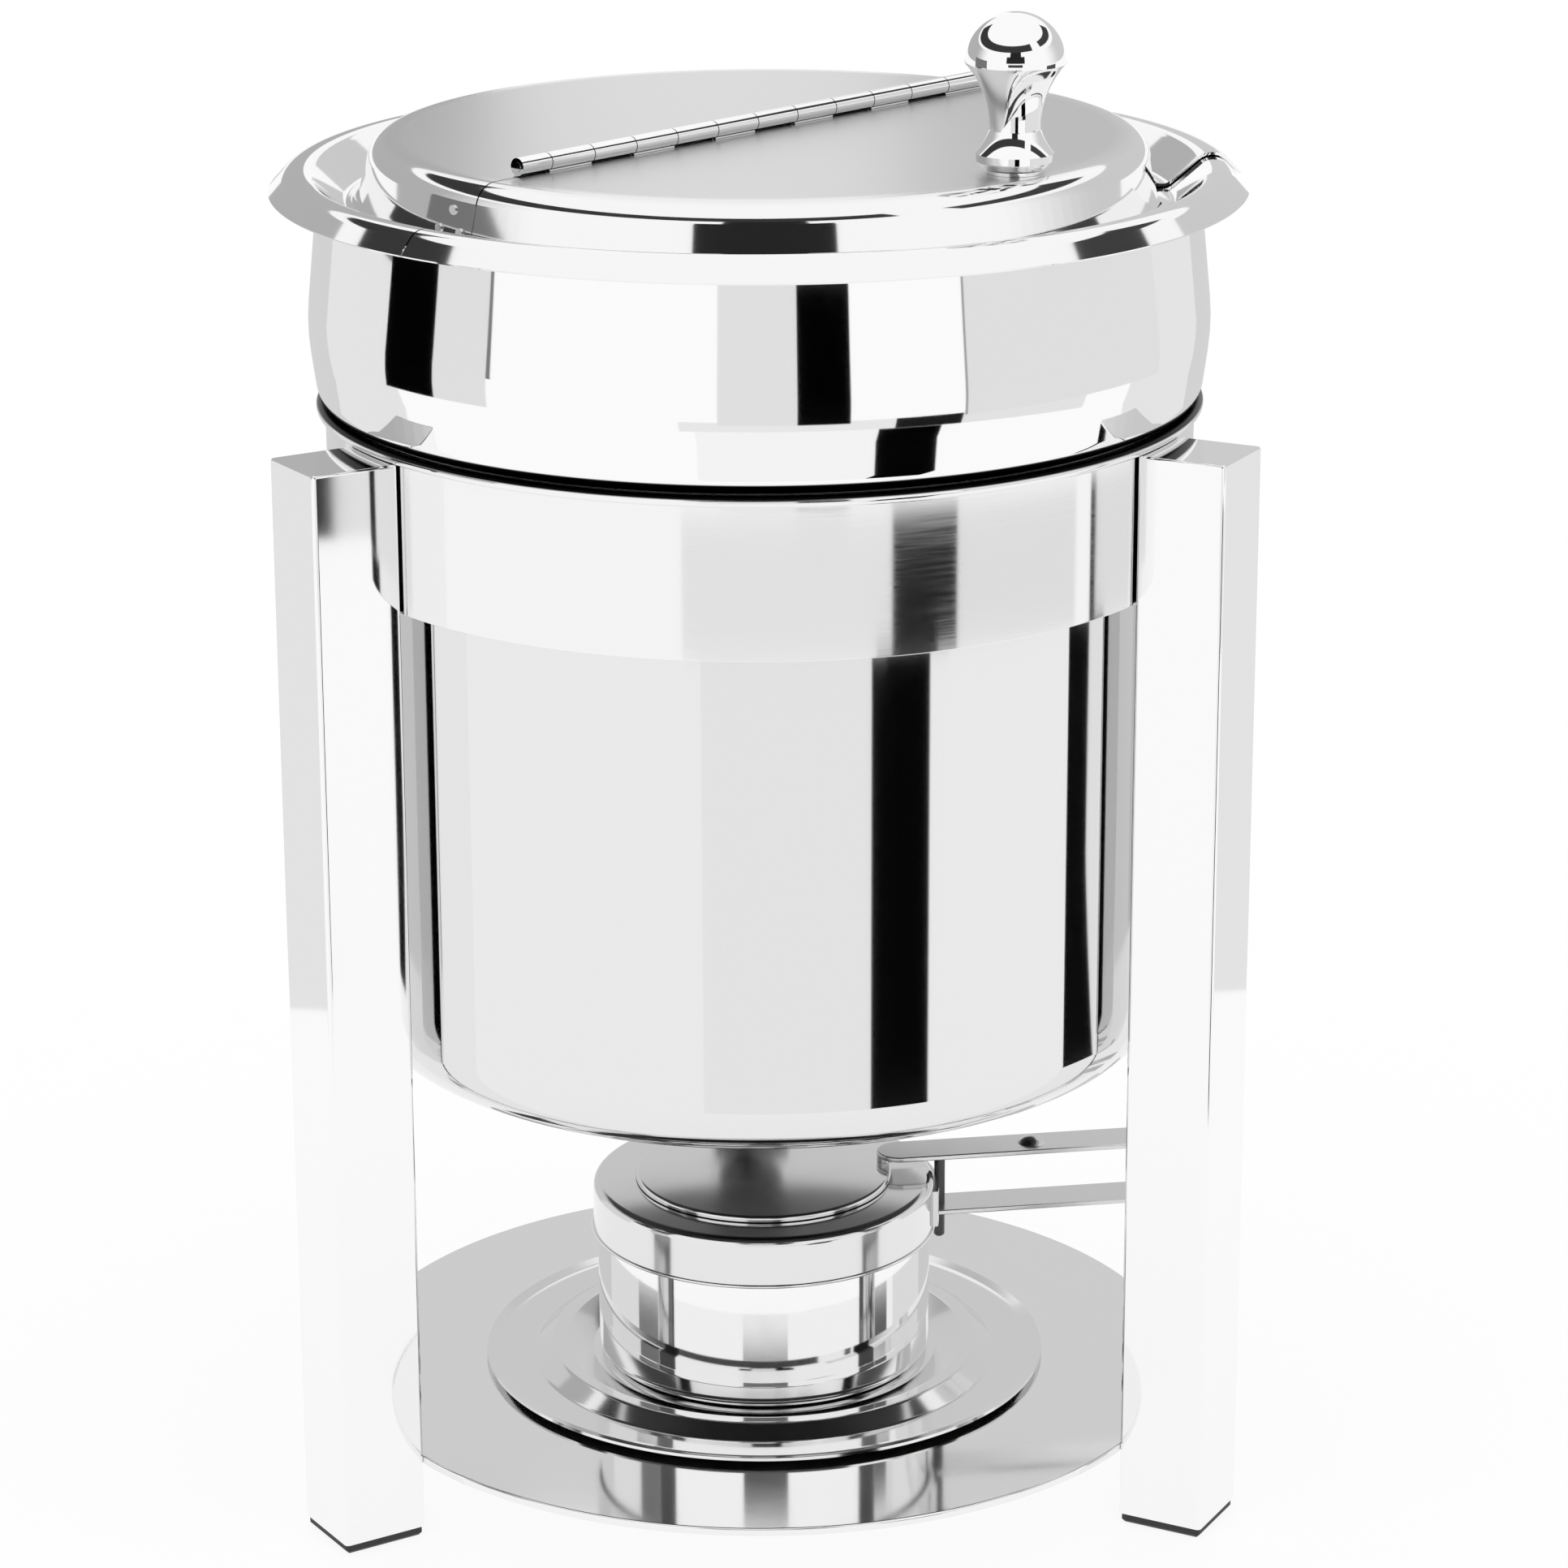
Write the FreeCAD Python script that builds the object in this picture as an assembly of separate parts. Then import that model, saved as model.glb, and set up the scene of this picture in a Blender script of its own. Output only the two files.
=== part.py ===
import FreeCAD, Part
import math
import os

# Soup kettle: a three-legged stand with a burner, a round water pan, a food pan and a two-piece hinged
# cover. Millimetres, +Z up, origin on the floor on the kettle's axis. Azimuths are in degrees, from the
# front (-Y) towards the right (+X).

V = FreeCAD.Vector
Z_AXIS = V(0, 0, 1)

# Driving dimensions: clearances
seat_gap = 0.3          # between two sheets of different pieces that lie on each other
contact_gap = 0.05      # between a piece and the flat seat that it stands on
pin_clearance = 0.06    # radial clearance of a pin in its knuckle or hole
through = 5.0           # how far a cutting shape reaches past what it cuts

# Driving dimensions: stand
leg_width = 25.4
leg_wall = 1.5
leg_edge_radius = 1.2
leg_top_z = 314.0
leg_names = ("leg_left", "leg_right", "leg_rear")
cap_thickness = 1.5
cap_edge_radius = 0.7
pad_height = 3.0
pad_inset = 0.6
pad_chamfer = 0.9
pad_plug_length = 12.0
band_radius = 121.5
band_thickness = 1.2
band_height = 43.3
bead_radius = 1.5
bead_overhang = 2.5
lip_reach = 3.5         # how far the lip reaches in from the band's outside
lip_thickness = 1.2
plate_overhang = 1.0
plate_thickness = 2.2
plate_top_z = 24.6

# Driving dimensions: burner dish
dish_radius = 82.2
dish_sheet = 0.8
dish_floor_rise = 0.7
dish_floor_radius = 50.6
dish_ring_radius = 60.9
dish_ring_width = 15.0
dish_ring_rise = 3.6
dish_edge_rise = 1.5
dish_floor_corner = 1.5
dish_ring_corner = 2.5
dish_edge_corner = 12.0

# Driving dimensions: fuel cup and its cap
cup_radius = 48.9
cup_sheet = 0.8
cup_height = 53.0
cup_corner_radius = 4.0
cup_rim_width = 4.0
cup_rim_corner = 2.0
cap_sheet = 0.8
cap_skirt_clearance = 0.5
cap_skirt_height = 15.0
cap_corner_radius = 2.5
cap_bead_radius = 1.1
flame_hole_radius = 33.0

# Driving dimensions: snuffer and the two handles
burner_azimuth = 97.0
snuffer_radius = 37.6
snuffer_sheet = 0.8
snuffer_lip_height = 1.6
snuffer_corner_radius = 1.0
handle_width = 13.5
handle_thickness = 1.5
handle_edge_radius = 0.4
spacer_radius = 2.4
spacer_height = 1.6     # of the boss that holds the upper handle clear of the disc
handle_overhang = 15.5  # how far the handles reach past the band's radius
handle_start_radius = 34.0
bracket_height = 11.0
bracket_spread = 30.0
pivot_radius = 1.6
pivot_offset = 2.6
pivot_tail = 9.0
pivot_collar_radius = 3.0
pivot_collar_height = 1.4
stud_position = 80.5
stud_radius = 4.2
stud_height = 2.0
stud_shank_radius = 2.0

# Driving dimensions: water pan (overhangs are measured from the band's radius, rises from the pan's seat)
pan_sheet = 1.0
pan_clearance = 1.2     # between the pan's wall and the lip that it hangs through
pan_depth = 186.8       # from its seat down
pan_corner_radius = 15.0
shoulder_radius = 2.6
belly_bottom_overhang = 1.7
belly_bottom_rise = 1.2
belly_bottom_corner = 6.0
belly_overhang = 4.4
belly_rise = 21.6
belly_corner = 60.0
neck_overhang = 0.7
neck_corner = 3.0
rim_overhang = 9.5

# Driving dimensions: cover (heights are measured from its channel)
cover_sheet = 0.8
channel_rise = 55.8     # of the channel above the pan's seat
channel_corner = 2.4
channel_width = 3.4
channel_inset = 7.6     # of the channel's outer corner from the pan's neck
cover_height = 17.7
cover_shoulder_radius = 7.0
skirt_draft = 4.6
crest_offset = 5.2      # of the arch's middle from the pan's neck
crest_height = 9.0
crest_corner = 6.0
crest_width = 5.2
edge_overhang = 4.4     # past the pan's rim
edge_height = 3.2
split_gap = 0.5
knob_azimuth = 45.0
ladle_azimuth = 87.0
ladle_slot_width = 30.0
ladle_slot_height = 12.0
ladle_slot_corner = 5.0
ladle_slot_reach = 8.0  # how far it reaches in past the skirt's foot

# Driving dimensions: food pan
food_sheet = 0.8
food_inset = 4.7        # of the pan's wall from the cover's skirt foot
food_depth = 203.0
food_corner_radius = 18.0
food_ledge_corner = 2.0
food_edge_overhang = 0.6

# Driving dimensions: piano hinge
hinge_inset = 13.6      # of each end of the hinge from the cover's top corner
knuckle_count = 12
first_knuckle = 11.0
knuckle_radius = 2.4
knuckle_gap = 0.3
hinge_pin_radius = 1.3
leaf_thickness = 0.8
leaf_width = 18.0
hinge_slit = 2.6
barrel_lift = 0.3
leaf_web_gap = 0.3
web_room = 2.6

# Driving dimensions: seat tabs on the fixed half
tab_sheet = 0.8
tab_length = 24.0
tab_reach = 5.0         # how far a tab reaches past the split, under the moving half
tab_bottom_rise = 3.0   # above the channel
tab_top_rise = 12.0
tab_rivet_radius = 1.3
tab_rivet_head = 0.5
tab_rivets_from_split = ((4.4, 10.2), (6.8, 4.9), (2.3, 4.7))   # degrees, rise above the channel

# Driving dimensions: knob
knob_inset = 13.9       # of its axis from the cover's top corner
knob_foot_radius = 10.4
knob_foot_height = 2.0
knob_bevel = 2.2
knob_hollow_radius = 7.9
knob_hollow_rise = 7.9
knob_waist_radius = 6.9
knob_waist_rise = 10.5
knob_neck_radius = 8.6
knob_neck_rise = 20.25
knob_ball_radius = 13.4
knob_ball_rise = 28.0
washer_radius = 7.5
washer_thickness = 1.0
screw_radius = 2.5
screw_head_radius = 4.4
screw_head_height = 2.6
screw_length = 14.0
screw_end_room = 0.5


# ---------- sizes that follow from the driving dimensions ----------

leg_step = 360 / len(leg_names)
leg_azimuths = {name: (k - 0.5) * leg_step for k, name in enumerate(leg_names)}
leg_centre = band_radius + leg_width / 2
leg_tube_top_z = leg_top_z - cap_thickness
lip_top_z = leg_top_z + bead_radius + lip_thickness / 2
lip_inner_radius = band_radius - lip_reach
plate_bottom_z = plate_top_z - plate_thickness

pan_seat_z = lip_top_z + seat_gap
pan_radius = lip_inner_radius - pan_clearance
rim_tip_radius = band_radius + rim_overhang
neck_radius = band_radius + neck_overhang

channel_z = pan_seat_z + channel_rise
channel_radius = neck_radius - channel_inset
skirt_foot_radius = channel_radius - channel_width
cover_top_z = channel_z + cover_height
cover_top_radius = skirt_foot_radius - skirt_draft
crest_radius = neck_radius + crest_offset
edge_radius = rim_tip_radius + edge_overhang

food_radius = skirt_foot_radius - food_inset
food_edge_radius = rim_tip_radius + food_edge_overhang
food_depth_under_cover = cover_sheet + seat_gap + food_sheet
pan_depth_under_cover = food_depth_under_cover + seat_gap + pan_sheet

cup_bottom_z = plate_top_z + dish_sheet + dish_floor_rise + contact_gap
cup_top_z = cup_bottom_z + cup_height
cap_top_z = cup_top_z + contact_gap + cap_sheet
cap_outer_radius = cup_radius + cap_skirt_clearance + cap_sheet
cap_bottom_z = cap_top_z - cap_skirt_height
pivot_y = -(cap_outer_radius + pivot_offset)
disc_bottom_z = cap_top_z + seat_gap
disc_top_z = disc_bottom_z + snuffer_lip_height
spacer_bottom_z = disc_top_z + contact_gap
strap_z = spacer_bottom_z + spacer_height
cap_strap_z = cap_bottom_z + cap_bead_radius + contact_gap
handle_tip_radius = band_radius + handle_overhang

hinge_length = 2 * (cover_top_radius - hinge_inset)
hinge_z = cover_top_z + barrel_lift + knuckle_radius
leaf_top_z = cover_top_z - cover_sheet - contact_gap
knob_position = cover_top_radius - knob_inset
washer_bottom_z = cover_top_z + contact_gap
knob_bottom_z = washer_bottom_z + washer_thickness + contact_gap
screw_head_top_z = cover_top_z - cover_sheet - contact_gap
screw_top_z = screw_head_top_z + screw_length


# ---------- helpers ----------

def rz(radius, height):
    """A profile point at a radius and a height, in the XZ plane."""
    return V(radius, 0, height)


def rounded_edges(points, radii):
    """Straight runs through the points, with a tangent arc of the given radius at each inner point."""
    edges = []
    start = points[0]
    for before, point, after, radius in zip(points, points[1:], points[2:], radii):
        into = (point - before).normalize()
        out = (after - point).normalize()
        turn = into.getAngle(out)
        if radius <= 0 or turn < 1e-4:
            edges.append(Part.LineSegment(start, point).toShape())
            start = point
            continue
        reach = radius * math.tan(turn / 2)
        first = point - into * reach
        last = point + out * reach
        inward = (out - into).normalize()
        middle = point + inward * (radius / math.cos(turn / 2) - radius)
        if (first - start).Length > 1e-6:
            edges.append(Part.LineSegment(start, first).toShape())
        edges.append(Part.Arc(first, middle, last).toShape())
        start = last
    edges.append(Part.LineSegment(start, points[-1]).toShape())
    return edges


def side_step(direction):
    """Unit vector in the XZ plane to the left of a direction, seen from -Y with X to the right."""
    return V(-direction.z, 0, direction.x)


def shifted_path(points, radii, distance):
    """The same rounded path, moved sideways by a distance to its left, with its radii to match."""
    runs = [(b - a).normalize() for a, b in zip(points, points[1:])]
    moved = [points[0] + side_step(runs[0]) * distance]
    moved_radii = []
    for point, into, out, radius in zip(points[1:], runs, runs[1:], radii):
        bisector = (side_step(into) + side_step(out)).normalize()
        stretch = distance / bisector.dot(side_step(into))
        moved.append(point + bisector * stretch)
        turns_left = side_step(into).dot(out) > 0
        moved_radii.append(max(radius - distance, 0.05) if turns_left else max(radius + distance, 0.05))
    moved.append(points[-1] + side_step(runs[-1]) * distance)
    return moved, moved_radii


def sheet_face(points, radii, thickness):
    """Face of a bent sheet: the rounded path and its copy a thickness away to its left."""
    other, other_radii = shifted_path(points, radii, thickness)
    edges = rounded_edges(points, radii)
    edges.append(Part.LineSegment(points[-1], other[-1]).toShape())
    edges += rounded_edges(other[::-1], other_radii[::-1])
    edges.append(Part.LineSegment(other[0], points[0]).toShape())
    return Part.Face(Part.Wire(Part.__sortEdges__(edges)))


def turned(face, angle=360.0):
    """The face turned about the kettle's axis."""
    return face.revolve(V(0, 0, 0), Z_AXIS, angle)


def turned_sheet(points, radii, thickness):
    return turned(sheet_face(points, radii, thickness))


def cylinder(radius, bottom, top, x=0.0, y=0.0):
    return Part.makeCylinder(radius, top - bottom, V(x, y, bottom))


def tube(outer, inner, bottom, top):
    return cylinder(outer, bottom, top).cut(cylinder(inner, bottom - through, top + through))


def block(x0, x1, y0, y1, z0, z1):
    return Part.makeBox(x1 - x0, y1 - y0, z1 - z0, V(x0, y0, z0))


def at_azimuth(shape, azimuth):
    """A shape that was built on the -Y side, turned to an azimuth."""
    placed = shape.copy()
    placed.rotate(V(0, 0, 0), Z_AXIS, azimuth)
    return placed


def upright_edges(solid):
    """The straight edges of a solid that run along Z."""
    return [e for e in solid.Edges if len(e.Vertexes) == 2
            and abs(e.tangentAt(e.FirstParameter).z) > 0.999]


def level_edges(solid, height):
    """The edges of a solid that lie at one height."""
    return [e for e in solid.Edges if abs(e.BoundBox.ZMin - height) < 1e-4
            and abs(e.BoundBox.ZMax - height) < 1e-4]


# ---------- stand ----------

def square_bar(width, bottom, top, corner):
    """A square bar on the leg's centre line, with rounded upright edges."""
    half = width / 2
    bar = block(-half, half, -leg_centre - half, -leg_centre + half, bottom, top)
    return bar.makeFillet(corner, upright_edges(bar))


def leg_tube():
    outside = square_bar(leg_width, pad_height, leg_tube_top_z, leg_edge_radius)
    hole = square_bar(leg_width - 2 * leg_wall, pad_height - through, leg_tube_top_z + through,
                      leg_edge_radius / 3)
    return outside.cut(hole)


def leg_cap():
    cap = square_bar(leg_width, leg_tube_top_z, leg_top_z, leg_edge_radius)
    return cap.makeFillet(cap_edge_radius, level_edges(cap, leg_top_z))


def foot_pad():
    pad = square_bar(leg_width - 2 * pad_inset, 0, pad_height, leg_edge_radius)
    pad = pad.makeChamfer(pad_chamfer, level_edges(pad, 0))
    plug_width = leg_width - 2 * leg_wall - 2 * contact_gap
    return pad.fuse(square_bar(plug_width, pad_height, pad_height + pad_plug_length, leg_edge_radius / 2))


def stand_ring():
    """Band between the legs, with a rolled bead over their tops and a lip that carries the water pan."""
    bead_z = leg_top_z + bead_radius
    band = tube(band_radius, band_radius - band_thickness, bead_z - band_height, bead_z)
    lip = tube(band_radius, lip_inner_radius, lip_top_z - lip_thickness, lip_top_z)
    bead = Part.makeTorus(band_radius + bead_overhang - bead_radius, bead_radius, V(0, 0, bead_z), Z_AXIS)
    return band.fuse([lip, bead]).removeSplitter()


def base_plate():
    """Round plate with a flat at each leg, where the leg is welded to it."""
    plate = cylinder(band_radius + plate_overhang, plate_bottom_z, plate_top_z)
    half = leg_width / 2
    for azimuth in leg_azimuths.values():
        flat = block(-half, half, -leg_centre - half, -band_radius,
                     plate_bottom_z - through, plate_top_z + through)
        plate = plate.cut(at_azimuth(flat, azimuth))
    rim = [e for e in level_edges(plate, plate_top_z) if isinstance(e.Curve, Part.Circle)]
    return plate.makeFillet(plate_thickness / 3, rim)


def dish_profile():
    """Top line of the dish, from the centre to the edge."""
    low = plate_top_z + dish_sheet
    half = dish_ring_width / 2
    points = [rz(0, low + dish_floor_rise), rz(dish_floor_radius, low + dish_floor_rise),
              rz(dish_ring_radius - half / 4, low + dish_ring_rise),
              rz(dish_ring_radius + half / 4, low + dish_ring_rise),
              rz(dish_ring_radius + half, low), rz(dish_radius - half / 2, low + dish_edge_rise / 3),
              rz(dish_radius, low + dish_edge_rise)]
    return points, [dish_floor_corner, dish_ring_corner, dish_ring_corner, dish_ring_corner, dish_edge_corner]


def burner_dish():
    points, radii = dish_profile()
    return turned_sheet(points, radii, -dish_sheet)


# ---------- fuel cup, its cap and the snuffer ----------

def fuel_cup():
    """Straight cup with its rim turned inwards."""
    points = [rz(0, cup_bottom_z), rz(cup_radius, cup_bottom_z), rz(cup_radius, cup_top_z),
              rz(cup_radius - cup_rim_width, cup_top_z)]
    return turned_sheet(points, [cup_corner_radius, cup_rim_corner], cup_sheet)


def holder_cap():
    """Flanged ring that covers the cup's rim, with a rolled bead at the foot of its skirt."""
    points = [rz(flame_hole_radius, cap_top_z), rz(cap_outer_radius, cap_top_z),
              rz(cap_outer_radius, cap_bottom_z)]
    sheet = turned_sheet(points, [cap_corner_radius], -cap_sheet)
    wire = cap_bead_radius / 2
    bead = Part.makeTorus(cap_outer_radius, wire, V(0, 0, cap_bottom_z + wire), Z_AXIS)
    return sheet.fuse(bead).removeSplitter()


def strap(inner_radius, bottom, round_start=False):
    """Flat handle strip that runs outwards at azimuth 0, with a rounded tip and eased edges."""
    half = handle_width / 2
    top = bottom + handle_thickness
    end = handle_tip_radius - half
    strip = block(-half, half, -end, -inner_radius, bottom, top).fuse(cylinder(half, bottom, top, y=-end))
    if round_start:
        strip = strip.fuse(cylinder(half, bottom, top, y=-inner_radius))
    strip = strip.removeSplitter()
    return strip.makeFillet(handle_edge_radius, level_edges(strip, bottom) + level_edges(strip, top))


def cap_handle():
    """Lower handle: a curved bracket on the cap's skirt, with the strip bent outwards from its foot."""
    inner = cap_outer_radius + contact_gap
    outer = inner + handle_thickness
    bracket_top_z = cap_strap_z + bracket_height
    reach = bracket_spread / 2
    bracket = tube(outer, inner, cap_strap_z, bracket_top_z)
    bracket = bracket.common(block(-reach, reach, -outer - through, 0, cap_strap_z, bracket_top_z))
    strip = strap(inner + handle_thickness / 2, cap_strap_z)
    body = bracket.fuse(strip).removeSplitter()
    hole = cylinder(pivot_radius + pin_clearance, cap_strap_z - through, bracket_top_z, y=pivot_y)
    return body.cut(hole)


def pivot_pin():
    """Upright pin under the snuffer's handle; it turns in the cap's handle and can be lifted out."""
    foot = cap_strap_z - pivot_tail
    shank = cylinder(pivot_radius, foot, strap_z, y=pivot_y)
    shank = shank.makeChamfer(pivot_radius / 3, level_edges(shank, foot))
    collar = Part.makeCone(pivot_radius, pivot_collar_radius, pivot_collar_height,
                           V(0, pivot_y, strap_z - pivot_collar_height))
    return shank.fuse(collar).removeSplitter()


def snuffer_disc():
    """Shallow lid that swings over the flame hole."""
    points = [rz(0, disc_top_z), rz(snuffer_radius, disc_top_z), rz(snuffer_radius, disc_bottom_z)]
    return turned_sheet(points, [snuffer_corner_radius], -snuffer_sheet)


def snuffer_handle():
    """Upper handle: a strip on a boss that is welded to the disc, pierced for the stud."""
    inner_end = handle_start_radius + handle_width / 2
    boss = cylinder(spacer_radius, spacer_bottom_z, strap_z + handle_thickness / 2,
                    y=-handle_start_radius - spacer_radius)
    body = strap(inner_end, strap_z, round_start=True).fuse(boss).removeSplitter()
    top = strap_z + handle_thickness
    return body.cut(cylinder(stud_shank_radius, strap_z - through, top + through, y=-stud_position))


def domed_head(radius, height, bottom, y):
    """Flat-bottomed rivet head, rounded like a shallow dome."""
    ball_radius = (radius ** 2 + height ** 2) / (2 * height)
    ball = Part.makeSphere(ball_radius, V(0, y, bottom + height - ball_radius))
    return ball.common(cylinder(radius + through, bottom, bottom + height, y=y))


def handle_stud():
    """Domed stud through the upper handle."""
    shank = cylinder(stud_shank_radius, strap_z, strap_z + handle_thickness, y=-stud_position)
    head = domed_head(stud_radius, stud_height, strap_z + handle_thickness, -stud_position)
    return shank.fuse(head).removeSplitter()


# ---------- water pan, food pan ----------

def cover_outline():
    """Top line of the cover and its corner radii, from the centre to the edge."""
    crest_z = channel_z + crest_height
    points = [rz(0, cover_top_z), rz(cover_top_radius, cover_top_z), rz(skirt_foot_radius, channel_z),
              rz(channel_radius, channel_z), rz(crest_radius - crest_width / 2, crest_z),
              rz(crest_radius + crest_width / 2, crest_z), rz(edge_radius, channel_z + edge_height)]
    radii = [cover_shoulder_radius, channel_corner, channel_corner, crest_corner, crest_corner]
    return points, radii


def point_at_radius(start, end, radius):
    """Point on the line through two profile points, at a radius."""
    return start + (end - start) * ((radius - start.x) / (end.x - start.x))


def arch_under_cover(depth, tip_radius):
    """Channel, both crest corners and the tip of a line that runs a depth under the cover's arch."""
    points, radii = cover_outline()
    moved, _ = shifted_path(points[2:], radii[2:], -depth)
    channel, crest_in, crest_out, edge = moved[1:]
    return channel, crest_in, crest_out, point_at_radius(crest_out, edge, tip_radius)


def water_pan():
    """Deep pot with a shoulder that sits on the stand, a rounded belly and a rolled-out rim."""
    channel, crest_in, crest_out, tip = arch_under_cover(pan_depth_under_cover, rim_tip_radius)
    floor_z = pan_seat_z - pan_depth
    points = [rz(0, floor_z), rz(pan_radius, floor_z), rz(pan_radius, pan_seat_z),
              rz(band_radius + belly_bottom_overhang, pan_seat_z + belly_bottom_rise),
              rz(band_radius + belly_overhang, pan_seat_z + belly_rise),
              point_at_radius(channel, crest_in, neck_radius), crest_in, crest_out, tip]
    rim_corner = crest_corner - pan_depth_under_cover
    radii = [pan_corner_radius, shoulder_radius, belly_bottom_corner, belly_corner, neck_corner,
             rim_corner, rim_corner]
    return turned_sheet(points, radii, pan_sheet)


def food_pan():
    """Round inset pan; its flange follows the water pan's rim and carries the cover."""
    channel, crest_in, crest_out, tip = arch_under_cover(food_depth_under_cover, food_edge_radius)
    floor_z = channel.z + food_sheet - food_depth
    points = [rz(0, floor_z), rz(food_radius, floor_z), rz(food_radius, channel.z), channel,
              crest_in, crest_out, tip]
    rim_corner = crest_corner - food_depth_under_cover
    radii = [food_corner_radius, food_ledge_corner, channel_corner + food_depth_under_cover,
             rim_corner, rim_corner]
    return turned_sheet(points, radii, food_sheet)


# ---------- cover ----------

def whole_cover():
    """Pressed cover: flat top, skirt, channel and an arched edge, before it is cut in two."""
    points, radii = cover_outline()
    return turned_sheet(points, radii, -cover_sheet)


def front_half_space(gap):
    """Big box over the moving half, which lies on the knob's side of the hinge line."""
    size = 2 * edge_radius
    return block(-size, size, -size, -gap, 0, 2 * cover_top_z)


def cover_half(front):
    """One half of the cover, in place, with the slit that the hinge leaves pass through."""
    gap = split_gap / 2
    space = front_half_space(gap)
    if not front:
        space.rotate(V(0, 0, 0), Z_AXIS, 180)
    slit_reach = hinge_length / 2 + knuckle_gap
    slit = block(-slit_reach, slit_reach, -hinge_slit / 2, hinge_slit / 2,
                 cover_top_z - through, cover_top_z + through)
    return at_azimuth(whole_cover().common(space).cut(slit), knob_azimuth)


def ladle_slot():
    """Slot for a ladle's handle, through the edge, the channel and the foot of the skirt."""
    half = ladle_slot_width / 2
    top = channel_z + ladle_slot_height
    cutter = block(-half, half, -edge_radius - through, -skirt_foot_radius + ladle_slot_reach,
                   channel_z - through, top)
    long_edges = [e for e in level_edges(cutter, top) if e.BoundBox.YLength > e.BoundBox.XLength]
    return at_azimuth(cutter.makeFillet(ladle_slot_corner, long_edges), ladle_azimuth)


def cover_front():
    hole = cylinder(screw_radius + pin_clearance, cover_top_z - through, cover_top_z + through,
                    y=-knob_position)
    return cover_half(front=True).cut(at_azimuth(hole, knob_azimuth)).cut(ladle_slot())


def cover_rear():
    rear = cover_half(front=False)
    for hole in tab_rivet_rods(tab_rivet_radius + pin_clearance, tab_length / 4, tab_rivet_head):
        rear = rear.cut(hole)
    return rear


# ---------- piano hinge ----------

def knuckle_spans():
    """Start and end of each knuckle along the hinge, from its front-left end."""
    pitch = (hinge_length - first_knuckle) / (knuckle_count - 1)
    marks = [-hinge_length / 2, -hinge_length / 2 + first_knuckle]
    for _ in range(knuckle_count - 1):
        marks.append(marks[-1] + pitch)
    return [(a + knuckle_gap / 2, b - knuckle_gap / 2) for a, b in zip(marks, marks[1:])]


def hinge_leaf(front):
    """Leaf under one half of the cover, with every second knuckle rolled round the pin."""
    side = -1 if front else 1
    outer_y = side * leaf_width
    web_y = side * (hinge_slit / 2 - leaf_web_gap - leaf_thickness)
    web_out = web_y + side * leaf_thickness
    half = hinge_length / 2
    leaf_bottom_z = leaf_top_z - leaf_thickness
    leaf = block(-half, half, min(web_y, outer_y), max(web_y, outer_y), leaf_bottom_z, leaf_top_z)
    bore = Part.makeCylinder(hinge_pin_radius + pin_clearance, hinge_length + 2 * through,
                             V(-half - through, 0, hinge_z), V(1, 0, 0))
    parts = []
    for index, (start, end) in enumerate(knuckle_spans()):
        if (index % 2 == 1) != front:
            continue
        barrel = Part.makeCylinder(knuckle_radius, end - start, V(start, 0, hinge_z), V(1, 0, 0))
        web = block(start, end, min(web_y, web_out), max(web_y, web_out), leaf_bottom_z, hinge_z)
        parts += [barrel, web]
    leaf = leaf.fuse(parts).cut(bore).removeSplitter()
    for index, (start, end) in enumerate(knuckle_spans()):
        if (index % 2 == 1) == front:
            continue
        room = block(max(start - knuckle_gap, -half), min(end + knuckle_gap, half), -web_room, web_room,
                     leaf_bottom_z - through, hinge_z)
        leaf = leaf.cut(room)
    return at_azimuth(leaf, knob_azimuth)


def hinge_pin():
    pin = Part.makeCylinder(hinge_pin_radius, hinge_length, V(-hinge_length / 2, 0, hinge_z), V(1, 0, 0))
    return at_azimuth(pin, knob_azimuth)


# ---------- seat tabs and their rivets ----------

def skirt_radius(height):
    """Outer radius of the conical skirt at a height."""
    return point_on_height(rz(skirt_foot_radius, channel_z), rz(cover_top_radius, cover_top_z), height).x


def point_on_height(start, end, height):
    """Point on the line through two profile points, at a height."""
    return start + (end - start) * ((height - start.z) / (end.z - start.z))


def split_azimuths():
    """Direction of each end of the split, and the sense in which the fixed half follows it."""
    return ((knob_azimuth - 90, -1), (knob_azimuth + 90, 1))


def radial_cylinder(radius, inner, outer, azimuth, height):
    rod = Part.makeCylinder(radius, outer - inner, V(0, -inner, height), V(0, -1, 0))
    return at_azimuth(rod, azimuth)


def tab_rivet_rods(radius, inward, outward):
    """A rod at each rivet, reaching inwards and outwards from the skirt's outer face."""
    rods = []
    for end, sense in split_azimuths():
        for offset, rise in tab_rivets_from_split:
            wall = skirt_radius(channel_z + rise)
            rods.append(radial_cylinder(radius, wall - inward, wall + outward, end + sense * offset,
                                        channel_z + rise))
    return rods


def seat_tab(end, sense):
    """Curved tab inside the skirt, across one end of the split, for the moving half to rest on."""
    slant = math.cos(math.atan2(skirt_draft, cover_height))
    outside = (cover_sheet + contact_gap) / slant
    inside = outside + tab_sheet
    low = channel_z + tab_bottom_rise
    high = channel_z + tab_top_rise
    corners = [rz(skirt_radius(low) - outside, low), rz(skirt_radius(high) - outside, high),
               rz(skirt_radius(high) - inside, high), rz(skirt_radius(low) - inside, low)]
    face = Part.Face(Part.makePolygon(corners + corners[:1]))
    reach = math.degrees(tab_reach / skirt_foot_radius)
    length = math.degrees(tab_length / skirt_foot_radius)
    tab = turned(face, length)
    tab.rotate(V(0, 0, 0), Z_AXIS, -90)
    start = end + reach - length if sense < 0 else end - reach
    tab = at_azimuth(tab, start)
    for rod in tab_rivet_rods(tab_rivet_radius + pin_clearance, tab_length / 4, tab_rivet_head):
        tab = tab.cut(rod)
    return tab.Solids[0]


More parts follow.
